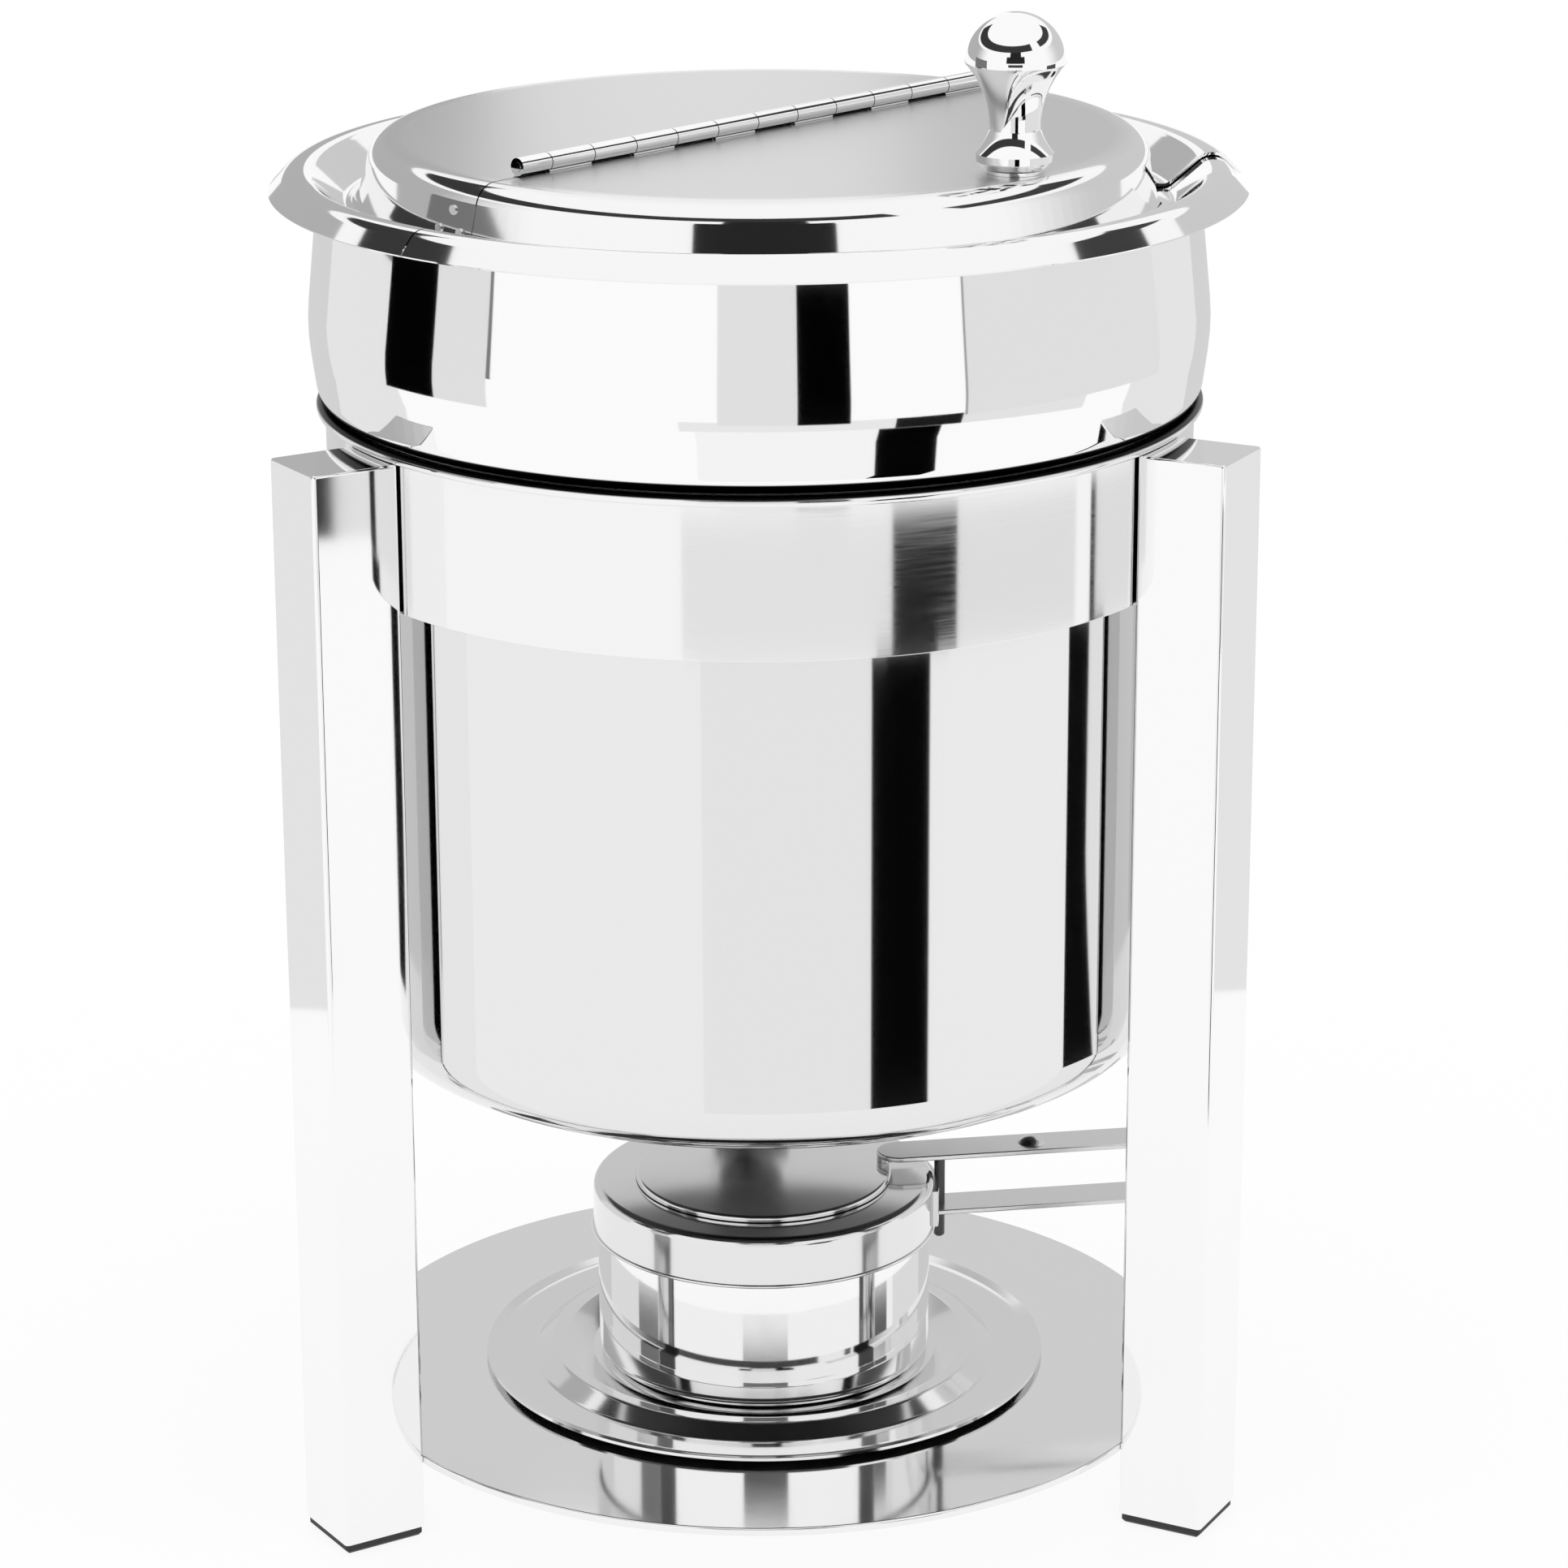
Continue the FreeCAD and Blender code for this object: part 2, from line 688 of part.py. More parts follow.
def seat_tabs():
    return Part.makeCompound([seat_tab(end, sense) for end, sense in split_azimuths()])


def tab_rivets():
    """Low round rivets through the skirt and the tabs."""
    return Part.makeCompound(tab_rivet_rods(tab_rivet_radius, cover_sheet + tab_sheet + 4 * contact_gap
                                            + tab_rivet_head, tab_rivet_head))


# ---------- knob ----------

def knob():
    """Turned knob: bevelled foot, waist, flared neck and a ball top, tapped from below."""
    foot = knob_bottom_z
    waist_z = foot + knob_waist_rise
    ball_z = foot + knob_ball_rise
    neck = Part.Arc(rz(knob_waist_radius, waist_z), rz(knob_neck_radius, foot + knob_neck_rise),
                    rz(knob_ball_radius, ball_z)).toShape()
    foot_curve = Part.Arc(rz(knob_foot_radius, foot + knob_bevel + knob_foot_height),
                          rz(knob_hollow_radius, foot + knob_hollow_rise),
                          rz(knob_waist_radius, waist_z)).toShape()
    slope = knob_ball_radius * math.sin(math.pi / 4)
    ball = Part.Arc(rz(knob_ball_radius, ball_z), rz(slope, ball_z + slope),
                    rz(0, ball_z + knob_ball_radius)).toShape()
    corners = [rz(0, foot), rz(knob_foot_radius - knob_bevel, foot), rz(knob_foot_radius, foot + knob_bevel),
               rz(knob_foot_radius, foot + knob_bevel + knob_foot_height)]
    edges = [Part.LineSegment(a, b).toShape() for a, b in zip(corners, corners[1:])]
    axis = Part.LineSegment(rz(0, ball_z + knob_ball_radius), corners[0]).toShape()
    edges += [foot_curve, neck, ball, axis]
    body = turned(Part.Face(Part.Wire(Part.__sortEdges__(edges))))
    body = body.cut(cylinder(screw_radius + pin_clearance, foot - through, screw_top_z + screw_end_room))
    return on_knob_axis(body)


def on_knob_axis(shape):
    moved = shape.copy()
    moved.translate(V(0, -knob_position, 0))
    return at_azimuth(moved, knob_azimuth)


def knob_washer():
    top = washer_bottom_z + washer_thickness
    return on_knob_axis(tube(washer_radius, screw_radius + pin_clearance, washer_bottom_z, top))


def knob_screw():
    """Round-head screw up through the cover into the knob."""
    shank = cylinder(screw_radius, screw_head_top_z, screw_top_z)
    head = cylinder(screw_head_radius, screw_head_top_z - screw_head_height, screw_head_top_z)
    head = head.makeFillet(screw_head_height / 2, level_edges(head, screw_head_top_z - screw_head_height))
    return on_knob_axis(shank.fuse(head).removeSplitter())


# ---------- all sub-parts ----------

def on_burner(shape):
    return at_azimuth(shape, burner_azimuth)


def per_leg(shape):
    """A group of solids: the same piece at each leg."""
    return Part.makeCompound([at_azimuth(shape, azimuth) for azimuth in leg_azimuths.values()])


def nodes():
    yield "stand_ring", stand_ring()
    for name, azimuth in leg_azimuths.items():
        yield name, at_azimuth(leg_tube(), azimuth)
    yield "leg_caps", per_leg(leg_cap())
    yield "foot_pads", per_leg(foot_pad())
    yield "base_plate", base_plate()
    yield "burner_dish", burner_dish()
    yield "fuel_cup", fuel_cup()
    yield "holder_cap", holder_cap()
    yield "cap_handle", on_burner(cap_handle())
    yield "pivot_pin", on_burner(pivot_pin())
    yield "snuffer_disc", snuffer_disc()
    yield "snuffer_handle", on_burner(snuffer_handle())
    yield "handle_stud", on_burner(handle_stud())
    yield "water_pan", water_pan()
    yield "food_pan", food_pan()
    yield "cover_rear", cover_rear()
    yield "cover_front", cover_front()
    yield "hinge_leaf_rear", hinge_leaf(front=False)
    yield "hinge_leaf_front", hinge_leaf(front=True)
    yield "hinge_pin", hinge_pin()
    yield "seat_tabs", seat_tabs()
    yield "tab_rivets", tab_rivets()
    yield "knob", knob()
    yield "knob_washer", knob_washer()
    yield "knob_screw", knob_screw()


os.makedirs("parts", exist_ok=True)
for node, shape in nodes():
    if not shape.isValid():
        raise ValueError(node + " isn't a valid solid")
    shape.exportStep(os.path.join("parts", node + ".step"))
    box = shape.BoundBox
    print("%-18s solids %d volume %.1f z %.2f..%.2f r %.2f" % (
        node, len(shape.Solids), shape.Volume, box.ZMin, box.ZMax, max(box.XMax, box.YMax)))
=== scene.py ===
import math

import bpy
from mathutils import Matrix, Vector


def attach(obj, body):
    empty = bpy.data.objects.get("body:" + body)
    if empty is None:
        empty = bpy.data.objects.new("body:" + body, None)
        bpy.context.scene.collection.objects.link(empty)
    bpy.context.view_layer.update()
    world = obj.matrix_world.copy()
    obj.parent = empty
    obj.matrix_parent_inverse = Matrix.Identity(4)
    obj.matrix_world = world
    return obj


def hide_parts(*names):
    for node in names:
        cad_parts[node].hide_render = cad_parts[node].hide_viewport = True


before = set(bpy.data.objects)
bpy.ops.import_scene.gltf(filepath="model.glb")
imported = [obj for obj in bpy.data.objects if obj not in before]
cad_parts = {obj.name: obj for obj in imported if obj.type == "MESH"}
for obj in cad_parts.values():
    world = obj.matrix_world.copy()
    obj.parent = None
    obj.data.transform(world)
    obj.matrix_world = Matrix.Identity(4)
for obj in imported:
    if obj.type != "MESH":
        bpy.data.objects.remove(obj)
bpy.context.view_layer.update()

# Sizes are in millimetres here and become metres in the meshes. Azimuths are in degrees, from the
# front (-Y) towards the right (+X), as in the CAD source. A profile point is a radius and a height.
MM = 0.001

# ---------- driving dimensions, as in the CAD source ----------
seat_gap = 0.3
contact_gap = 0.05

leg_top_z = 314.0
band_radius = 121.5
band_thickness = 1.2
band_height = 43.3
bead_radius = 1.5
bead_overhang = 2.5
lip_reach = 3.5
lip_thickness = 1.2
plate_overhang = 1.0
plate_thickness = 2.2
plate_top_z = 24.6

dish_radius = 82.2
dish_sheet = 0.8
dish_floor_rise = 0.7
dish_floor_radius = 50.6
dish_ring_radius = 60.9
dish_ring_width = 15.0
dish_ring_rise = 3.6
dish_edge_rise = 1.5
dish_floor_corner = 1.5
dish_ring_corner = 2.5
dish_edge_corner = 12.0

cup_radius = 48.9
cup_sheet = 0.8
cup_height = 53.0
cup_corner_radius = 4.0
cup_rim_width = 4.0
cup_rim_corner = 2.0
cap_sheet = 0.8
cap_skirt_clearance = 0.5
cap_skirt_height = 15.0
cap_corner_radius = 2.5
cap_bead_radius = 1.1
flame_hole_radius = 33.0
snuffer_radius = 37.6
snuffer_sheet = 0.8
snuffer_lip_height = 1.6
snuffer_corner_radius = 1.0

pan_sheet = 1.0
pan_clearance = 1.2
pan_depth = 186.8
pan_corner_radius = 15.0
shoulder_radius = 2.6
belly_bottom_overhang = 1.7
belly_bottom_rise = 1.2
belly_bottom_corner = 6.0
belly_overhang = 4.4
belly_rise = 21.6
belly_corner = 60.0
neck_overhang = 0.7
neck_corner = 3.0
rim_overhang = 9.5

cover_sheet = 0.8
channel_rise = 55.8
channel_corner = 2.4
channel_width = 3.4
channel_inset = 7.6
cover_height = 17.7
cover_shoulder_radius = 7.0
skirt_draft = 4.6
crest_offset = 5.2
crest_height = 9.0
crest_corner = 6.0
crest_width = 5.2
edge_overhang = 4.4
edge_height = 3.2
split_gap = 0.5
hinge_inset = 13.6
hinge_slit = 2.6
knuckle_gap = 0.3
ladle_azimuth = 87.0
ladle_slot_width = 30.0
ladle_slot_height = 12.0
ladle_slot_corner = 5.0

food_sheet = 0.8
food_inset = 4.7
food_depth = 203.0
food_corner_radius = 18.0
food_ledge_corner = 2.0
food_edge_overhang = 0.6

knob_azimuth = 45.0
knob_inset = 13.9
knob_foot_radius = 10.4
knob_foot_height = 2.0
knob_bevel = 2.2
knob_hollow_radius = 7.9
knob_hollow_rise = 7.9
knob_waist_radius = 6.9
knob_waist_rise = 10.5
knob_neck_radius = 8.6
knob_neck_rise = 20.25
knob_ball_radius = 13.4
knob_ball_rise = 28.0
washer_thickness = 1.0

# ---------- sizes that follow from the driving dimensions ----------
lip_top_z = leg_top_z + bead_radius + lip_thickness / 2
lip_inner_radius = band_radius - lip_reach
band_bottom_z = leg_top_z + bead_radius - band_height
plate_bottom_z = plate_top_z - plate_thickness
leg_azimuths = (-60.0, 60.0, 180.0)

cup_bottom_z = plate_top_z + dish_sheet + dish_floor_rise + contact_gap
cup_top_z = cup_bottom_z + cup_height
cap_top_z = cup_top_z + contact_gap + cap_sheet
cap_outer_radius = cup_radius + cap_skirt_clearance + cap_sheet
cap_bottom_z = cap_top_z - cap_skirt_height
disc_bottom_z = cap_top_z + seat_gap
disc_top_z = disc_bottom_z + snuffer_lip_height

pan_seat_z = lip_top_z + seat_gap
pan_bottom_z = pan_seat_z - pan_depth
pan_radius = lip_inner_radius - pan_clearance
belly_bottom_radius = band_radius + belly_bottom_overhang
belly_radius = band_radius + belly_overhang
belly_z = pan_seat_z + belly_rise
neck_radius = band_radius + neck_overhang
rim_tip_radius = band_radius + rim_overhang

channel_z = pan_seat_z + channel_rise
channel_radius = neck_radius - channel_inset
skirt_foot_radius = channel_radius - channel_width
cover_top_z = channel_z + cover_height
cover_top_radius = skirt_foot_radius - skirt_draft
crest_radius = neck_radius + crest_offset
crest_z = channel_z + crest_height
edge_radius = rim_tip_radius + edge_overhang
edge_z = channel_z + edge_height
slit_reach = cover_top_radius - hinge_inset + knuckle_gap
slot_top_z = channel_z + ladle_slot_height
slot_corner_z = slot_top_z - ladle_slot_corner

food_radius = skirt_foot_radius - food_inset
food_edge_radius = rim_tip_radius + food_edge_overhang
food_depth_under_cover = cover_sheet + seat_gap + food_sheet
pan_depth_under_cover = food_depth_under_cover + seat_gap + pan_sheet

knob_position = cover_top_radius - knob_inset
washer_bottom_z = cover_top_z + contact_gap
knob_bottom_z = washer_bottom_z + washer_thickness + contact_gap

# ---------- camera, seen from the stand: it looks at the photograph's angle ----------
camera_distance = 1383.8
camera_height = 639.0
camera_side = 0.86
camera_pitch = 17.58
camera_yaw = 0.23
camera_roll = -0.18
camera_azimuth = -1.80
camera_lens = 115.95
sensor_width = 36

# ---------- mesh fineness ----------
round_steps = 288               # columns of a full turn
plate_steps = 720               # columns of the base plate, whose flats need more
wire_steps = 48                 # sides of a round wire
rear_columns = 180              # columns of the cover's rear half
front_columns = (126, 12, 42)   # of the front half: left of the ladle slot, over it, right of it
slot_corner_steps = 8
arc_step = 6.0                  # degrees between samples along a rounded corner
knob_steps = 24                 # samples along an arc of the knob
knob_ball_steps = 40
panel_rows = 24
panel_columns = 12


# ---------- profile lines ----------

def rz(radius, height):
    """A profile point at a radius and a height."""
    return Vector((radius, height))


def left_of(direction):
    """A profile direction turned a quarter to its left."""
    return Vector((-direction.y, direction.x))


def shifted_path(points, radii, distance):
    """The rounded path moved to its left by a distance, with its radii to match."""
    runs = [(b - a).normalized() for a, b in zip(points, points[1:])]
    moved = [points[0] + left_of(runs[0]) * distance]
    moved_radii = []
    for point, into, out, radius in zip(points[1:], runs, runs[1:], radii):
        bisector = (left_of(into) + left_of(out)).normalized()
        moved.append(point + bisector * (distance / bisector.dot(left_of(into))))
        turns_left = left_of(into).dot(out) > 0
        moved_radii.append(max(radius - distance, 0.05) if turns_left else max(radius + distance, 0.05))
    moved.append(points[-1] + left_of(runs[-1]) * distance)
    return moved, moved_radii


def sampled(points, radii):
    """Samples (point, tangent before it, tangent after it) along straight runs and tangent arcs."""
    samples = []
    runs = [(b - a).normalized() for a, b in zip(points, points[1:])]
    samples.append((points[0], runs[0], runs[0]))
    for point, into, out, radius in zip(points[1:], runs, runs[1:], radii):
        turn = math.atan2(into.x * out.y - into.y * out.x, into.dot(out))
        if radius <= 0 or abs(turn) < 1e-4:
            samples.append((point, into, out))
            continue
        reach = radius * math.tan(abs(turn) / 2)
        first = point - into * reach
        steps = max(2, math.ceil(math.degrees(abs(turn)) / arc_step))
        side = 1 if turn > 0 else -1
        centre = first + left_of(into) * (radius * side)
        for k in range(steps + 1):
            spin = Matrix.Rotation(turn * k / steps, 2)
            tangent = spin @ into
            samples.append((centre + spin @ (first - centre), tangent, tangent))
    samples.append((points[-1], runs[-1], runs[-1]))
    return samples


def sheet_lines(points, radii, thickness):
    """Samples of both faces of a bent sheet, each with the side that its outward normal is on."""
    other, other_radii = shifted_path(points, radii, thickness)
    side = -1 if thickness > 0 else 1
    return sampled(points, radii), sampled(other, other_radii), side


# ---------- mesh builder ----------

class Builder:
    """Collects vertices, faces and a normal for each face corner, then makes one smooth object."""

    def __init__(self):
        self.points = []
        self.faces = []
        self.normals = []

    def add(self, point):
        """Adds a vertex and gives its number."""
        self.points.append(point)
        return len(self.points) - 1

    def face(self, corners, normals=None):
        """Adds a face, wound so that it agrees with its normals; repeated corners are dropped."""
        kept = []
        for k, corner in enumerate(corners):
            if corner != corners[k - 1]:
                kept.append((corner, normals[k] if normals else None))
        if len(kept) < 3:
            return
        a, b, c = (self.points[kept[k][0]] for k in (0, 1, 2))
        flat = (b - a).cross(c - b)
        if flat.length < 1e-12 and len(kept) > 3:
            flat = (c - b).cross(self.points[kept[3][0]] - c)
        if normals and flat.dot(kept[0][1] + kept[1][1] + kept[2][1]) < 0:
            kept.reverse()
        self.faces.append([corner for corner, _ in kept])
        self.normals += [normal if normals else flat.normalized() for _, normal in kept]

    def flat_face(self, corners, outward):
        """Adds a flat face whose normal is on the side of the outward direction."""
        a, b, c = (self.points[corners[k]] for k in (0, 1, 2))
        flat = (b - a).cross(c - b)
        if flat.dot(outward) < 0:
            corners = corners[::-1]
            flat = -flat
        if flat.length < 1e-12:
            flat = outward
        self.face(corners, [flat.normalized()] * len(corners))

    def make(self, name):
        """The object, in metres, with its exact normals."""
        mesh = bpy.data.meshes.new(name)
        mesh.from_pydata([p * MM for p in self.points], [], self.faces)
        mesh.polygons.foreach_set("use_smooth", [True] * len(mesh.polygons))
        mesh.normals_split_custom_set([tuple(n.normalized()) for n in self.normals])
        obj = bpy.data.objects.new(name, mesh)
        bpy.context.scene.collection.objects.link(obj)
        return obj


def radial(azimuth):
    """Level unit vector towards an azimuth in radians."""
    return Vector((math.sin(azimuth), -math.cos(azimuth), 0))


def on_ring(radius, height, azimuth):
    """A profile point, or a profile direction, turned to an azimuth."""
    return radial(azimuth) * radius + Vector((0, 0, height))


def normal_at(tangent, side, azimuth):
    """Outward normal of a turned surface, from its profile's tangent."""
    across = left_of(tangent) * side
    return on_ring(across.x, across.y, azimuth)


def spread(start, end, count):
    """Evenly spaced values from start to end, both included."""
    return [start + (end - start) * k / count for k in range(count + 1)]


def full_turn(radius, height):
    """Azimuths of a full ring, the same at every radius and height."""
    return [2 * math.pi * k / round_steps for k in range(round_steps)]


def add_ring(builder, point, azimuths, place=on_ring):
    """A ring of vertices with its azimuths; on the axis it is a single vertex."""
    if point.x < 1e-6:
        return [builder.add(place(point.x, point.y, azimuths[0]))] * len(azimuths), azimuths
    return [builder.add(place(point.x, point.y, azimuth)) for azimuth in azimuths], azimuths


def add_rings(builder, samples, columns):
    """One ring of vertices for each sample, at the azimuths that columns gives for it."""
    return [add_ring(builder, point, columns(point.x, point.y)) for point, _, _ in samples]


def add_turned_faces(builder, samples, rings, side, closed, keep=None):
    """Faces between the rings, with exact normals from the profile's tangents."""
    for i in range(len(samples) - 1):
        (lower, low_az), (upper, up_az) = rings[i], rings[i + 1]
        leaving, arriving = samples[i][2], samples[i + 1][1]
        count = len(lower) if closed else len(lower) - 1
        for j in range(count):
            if keep and not keep(i, j):
                continue
            k = (j + 1) % len(lower)
            normals = [normal_at(leaving, side, low_az[j]), normal_at(arriving, side, up_az[j]),
                       normal_at(arriving, side, up_az[k]), normal_at(leaving, side, low_az[k])]
            builder.face([lower[j], upper[j], upper[k], lower[k]], normals)


def close_edge(builder, ring, other, direction, closed=True, keep=None):
    """The narrow face along a sheet's edge, between a ring of each of its faces."""
    ids, azimuths = ring
    other_ids = other[0]
    for j in range(len(ids) if closed else len(ids) - 1):
        if keep and not keep(j):
            continue
        k = (j + 1) % len(ids)
        normals = [on_ring(direction.x, direction.y, azimuths[m]) for m in (j, j, k, k)]
        builder.face([ids[j], other_ids[j], other_ids[k], ids[k]], normals)


def turned_sheet(name, points, radii, thickness):
    """A sheet-metal part turned a full circle, open where its profile stays off the axis."""
    builder = Builder()
    top, under, side = sheet_lines(points, radii, thickness)
    top_rings = add_rings(builder, top, full_turn)
    under_rings = add_rings(builder, under, full_turn)
    add_turned_faces(builder, top, top_rings, side, True)
    add_turned_faces(builder, under, under_rings, -side, True)
    for end, outward in ((0, -1), (-1, 1)):
        if top[end][0].x > 1e-6:
            close_edge(builder, top_rings[end], under_rings[end], top[end][1] * outward)
    return builder.make(name)


def turned_solid(name, points, radii, side=-1):
    """A solid turned from an outline that is closed, or that starts and ends on the axis."""
    builder = Builder()
    samples = sampled(points, radii)
    rings = add_rings(builder, samples, full_turn)
    add_turned_faces(builder, samples, rings, side, True)
    return builder.make(name)


def offset_samples(samples, distance):
    """The same samples, each moved to the left of its tangent by a distance."""
    return [(point + left_of(into) * distance, into, out) for point, into, out in samples]


def torus(name, ring_radius, minor_radius, height):
    """A ring of round wire about the kettle's axis."""
    builder = Builder()
    samples = []
    for angle in spread(0, 2 * math.pi, wire_steps):
        across = rz(math.cos(angle), math.sin(angle))
        samples.append((rz(ring_radius, height) + across * minor_radius, left_of(across), left_of(across)))
    add_turned_faces(builder, samples, add_rings(builder, samples, full_turn), -1, True)
    return builder.make(name)


# ---------- stand ----------

def stand_ring():
    """Band, rolled bead and lip as one outline, from the lip's inner edge round and back."""
    outer = band_radius + bead_overhang
    inner = band_radius - band_thickness
    bead_top_z = leg_top_z + 2 * bead_radius
    foot = lip_top_z - lip_thickness
    round_bead = bead_radius - 0.02     # a hair short of full, so that both arcs fit
    rounded = (
        (rz(lip_inner_radius, lip_top_z), 0.2),
        (rz(outer - bead_radius, bead_top_z), 0.4),
        (rz(outer, bead_top_z), round_bead),
        (rz(outer, leg_top_z), round_bead),
        (rz(band_radius, leg_top_z), 0.4),
        (rz(band_radius, band_bottom_z), 0.3),
        (rz(inner, band_bottom_z), 0.3),
        (rz(inner, foot), 0.4),
    )
    seam = rz(lip_inner_radius, foot)
    points = [seam] + [point for point, _ in rounded] + [seam]
    return turned_solid("stand_ring_skin", points, [radius for _, radius in rounded], 1)


def inside_flats(radius, height, azimuth):
    """A point of the base plate, held inside the flat of the leg that it is nearest to."""
    spot = on_ring(radius, height, azimuth)
    for leg in leg_azimuths:
        outward = radial(math.radians(leg))
        spot -= outward * max(spot.dot(outward) - band_radius, 0)
    return spot


def base_plate():
    """Round plate with a flat at each leg."""
    outer = band_radius + plate_overhang
    points = [rz(0, plate_bottom_z), rz(outer, plate_bottom_z), rz(outer, plate_top_z), rz(0, plate_top_z)]
    builder = Builder()
    samples = sampled(points, [0.2, plate_thickness / 3])
    azimuths = spread(0, 2 * math.pi, plate_steps)[:-1]
    rings = [add_ring(builder, point, azimuths, inside_flats) for point, _, _ in samples]
    add_turned_faces(builder, samples, rings, -1, True)
    return builder.make("base_plate_skin")


# ---------- burner ----------

def burner_dish():
    """Pressed dish: a floor for the cup, a raised ring round it and a turned-up edge."""
    low = plate_top_z + dish_sheet
    half = dish_ring_width / 2
    points = [rz(0, low + dish_floor_rise), rz(dish_floor_radius, low + dish_floor_rise),
              rz(dish_ring_radius - half / 4, low + dish_ring_rise),
              rz(dish_ring_radius + half / 4, low + dish_ring_rise),
              rz(dish_ring_radius + half, low), rz(dish_radius - half / 2, low + dish_edge_rise / 3),
              rz(dish_radius, low + dish_edge_rise)]
    radii = [dish_floor_corner, dish_ring_corner, dish_ring_corner, dish_ring_corner, dish_edge_corner]
    return turned_sheet("burner_dish_skin", points, radii, -dish_sheet)


def fuel_cup():
    """Round cup for a fuel can, with its rim turned in."""
    points = [rz(0, cup_bottom_z), rz(cup_radius, cup_bottom_z), rz(cup_radius, cup_top_z),
              rz(cup_radius - cup_rim_width, cup_top_z)]
    return turned_sheet("fuel_cup_skin", points, [cup_corner_radius, cup_rim_corner], cup_sheet)


def holder_cap():
    """Flanged ring over the cup's rim, and the bead along its skirt."""
    bead_z = cap_bottom_z + cap_bead_radius / 2
    points = [rz(flame_hole_radius, cap_top_z), rz(cap_outer_radius, cap_top_z),
              rz(cap_outer_radius, bead_z)]
    sheet = turned_sheet("holder_cap_skin", points, [cap_corner_radius], -cap_sheet)
    bead = torus("holder_cap_bead", cap_outer_radius, cap_bead_radius / 2, bead_z)
    return sheet, bead


def snuffer_disc():
    """Round lid over the flame hole, with its edge turned down."""
    points = [rz(0, disc_top_z), rz(snuffer_radius, disc_top_z), rz(snuffer_radius, disc_bottom_z)]
    return turned_sheet("snuffer_disc_skin", points, [snuffer_corner_radius], -snuffer_sheet)


# ---------- pans ----------

def cover_outline():
    """Top line of the whole cover, from the axis to its edge, with its corners' radii."""
    points = [rz(0, cover_top_z), rz(cover_top_radius, cover_top_z), rz(skirt_foot_radius, channel_z),
              rz(channel_radius, channel_z), rz(crest_radius - crest_width / 2, crest_z),
              rz(crest_radius + crest_width / 2, crest_z), rz(edge_radius, edge_z)]
    return points, [cover_shoulder_radius, channel_corner, channel_corner, crest_corner, crest_corner]


def point_at_radius(start, end, radius):
    """The point of a straight line at a radius."""
    return start + (end - start) * ((radius - start.x) / (end.x - start.x))


def arch_under_cover(depth, tip_radius):
    """Channel, both crest corners and the tip of a line that runs a depth under the cover's arch."""
    points, radii = cover_outline()
    moved, _ = shifted_path(points[2:], radii[2:], -depth)
    channel, crest_in, crest_out, edge = moved[1:]
    return channel, crest_in, crest_out, point_at_radius(crest_out, edge, tip_radius)


def water_pan():
    """Deep pot, the belly above it and the rim that carries the food pan."""
    channel, crest_in, crest_out, tip = arch_under_cover(pan_depth_under_cover, rim_tip_radius)
    points = [rz(0, pan_bottom_z), rz(pan_radius, pan_bottom_z), rz(pan_radius, pan_seat_z),
              rz(belly_bottom_radius, pan_seat_z + belly_bottom_rise), rz(belly_radius, belly_z),
              point_at_radius(channel, crest_in, neck_radius), crest_in, crest_out, tip]
    rim_corner = crest_corner - pan_depth_under_cover
    radii = [pan_corner_radius, shoulder_radius, belly_bottom_corner, belly_corner, neck_corner,
             rim_corner, rim_corner]
    return turned_sheet("water_pan_skin", points, radii, pan_sheet)


def food_pan():
    """Inset pan, which hangs in the water pan under the cover."""
    channel, crest_in, crest_out, tip = arch_under_cover(food_depth_under_cover, food_edge_radius)
    floor_z = channel.y + food_sheet - food_depth
    points = [rz(0, floor_z), rz(food_radius, floor_z), rz(food_radius, channel.y), channel,
              crest_in, crest_out, tip]
    rim_corner = crest_corner - food_depth_under_cover
    radii = [food_corner_radius, food_ledge_corner, channel_corner + food_depth_under_cover,
             rim_corner, rim_corner]
    return turned_sheet("food_pan_skin", points, radii, food_sheet)


# ---------- cover ----------

def split_half_gap(radius):
    """Distance of the split's edge from the hinge line at a radius."""
    return (hinge_slit if radius < slit_reach + 0.001 else split_gap) / 2


def slot_half_width(height):
    """Half of the ladle slot's width at a height on the cover."""
    rise = min(max(height - slot_corner_z, 0), ladle_slot_corner)
    return ladle_slot_width / 2 - ladle_slot_corner + math.sqrt(ladle_slot_corner ** 2 - rise ** 2)


def flat_top_samples():
    """Samples of the cover's flat top, close together near the hinge's slit and at its end."""
    level = rz(1, 0)
    slit_radii = [hinge_slit / 2 * share for share in (1, 1.02, 1.1, 1.3)]
    radii = slit_radii + [2.5, 4, 8, 16, 32, 50, 70, 85, slit_reach, slit_reach + 0.01]
    return [(rz(radius, cover_top_z), level, level) for radius in radii]


def slot_corner_samples(point, tangent, after):
    """Samples down the skirt's straight run at the ladle slot's rounded corners."""
    samples = []
    for angle in spread(0, math.pi / 2, slot_corner_steps):
        height = slot_corner_z + ladle_slot_corner * math.cos(angle)
        share = (point.y - height) / (point.y - after.y)
        samples.append((point + (after - point) * share, tangent, tangent))
    return samples


def cover_samples():
    """Samples of the cover's top line, with extra ones on the flat top and at the ladle slot's corners."""
    outline = sampled(*cover_outline())
    made = flat_top_samples()
    for (point, into, out), (after, _, _) in zip(outline[1:], outline[2:]):
        made.append((point, into, out))
        if point.y > slot_top_z > slot_corner_z > after.y and point.x > slit_reach:
            made += slot_corner_samples(point, out, after)
    made.append(outline[-1])
    return made


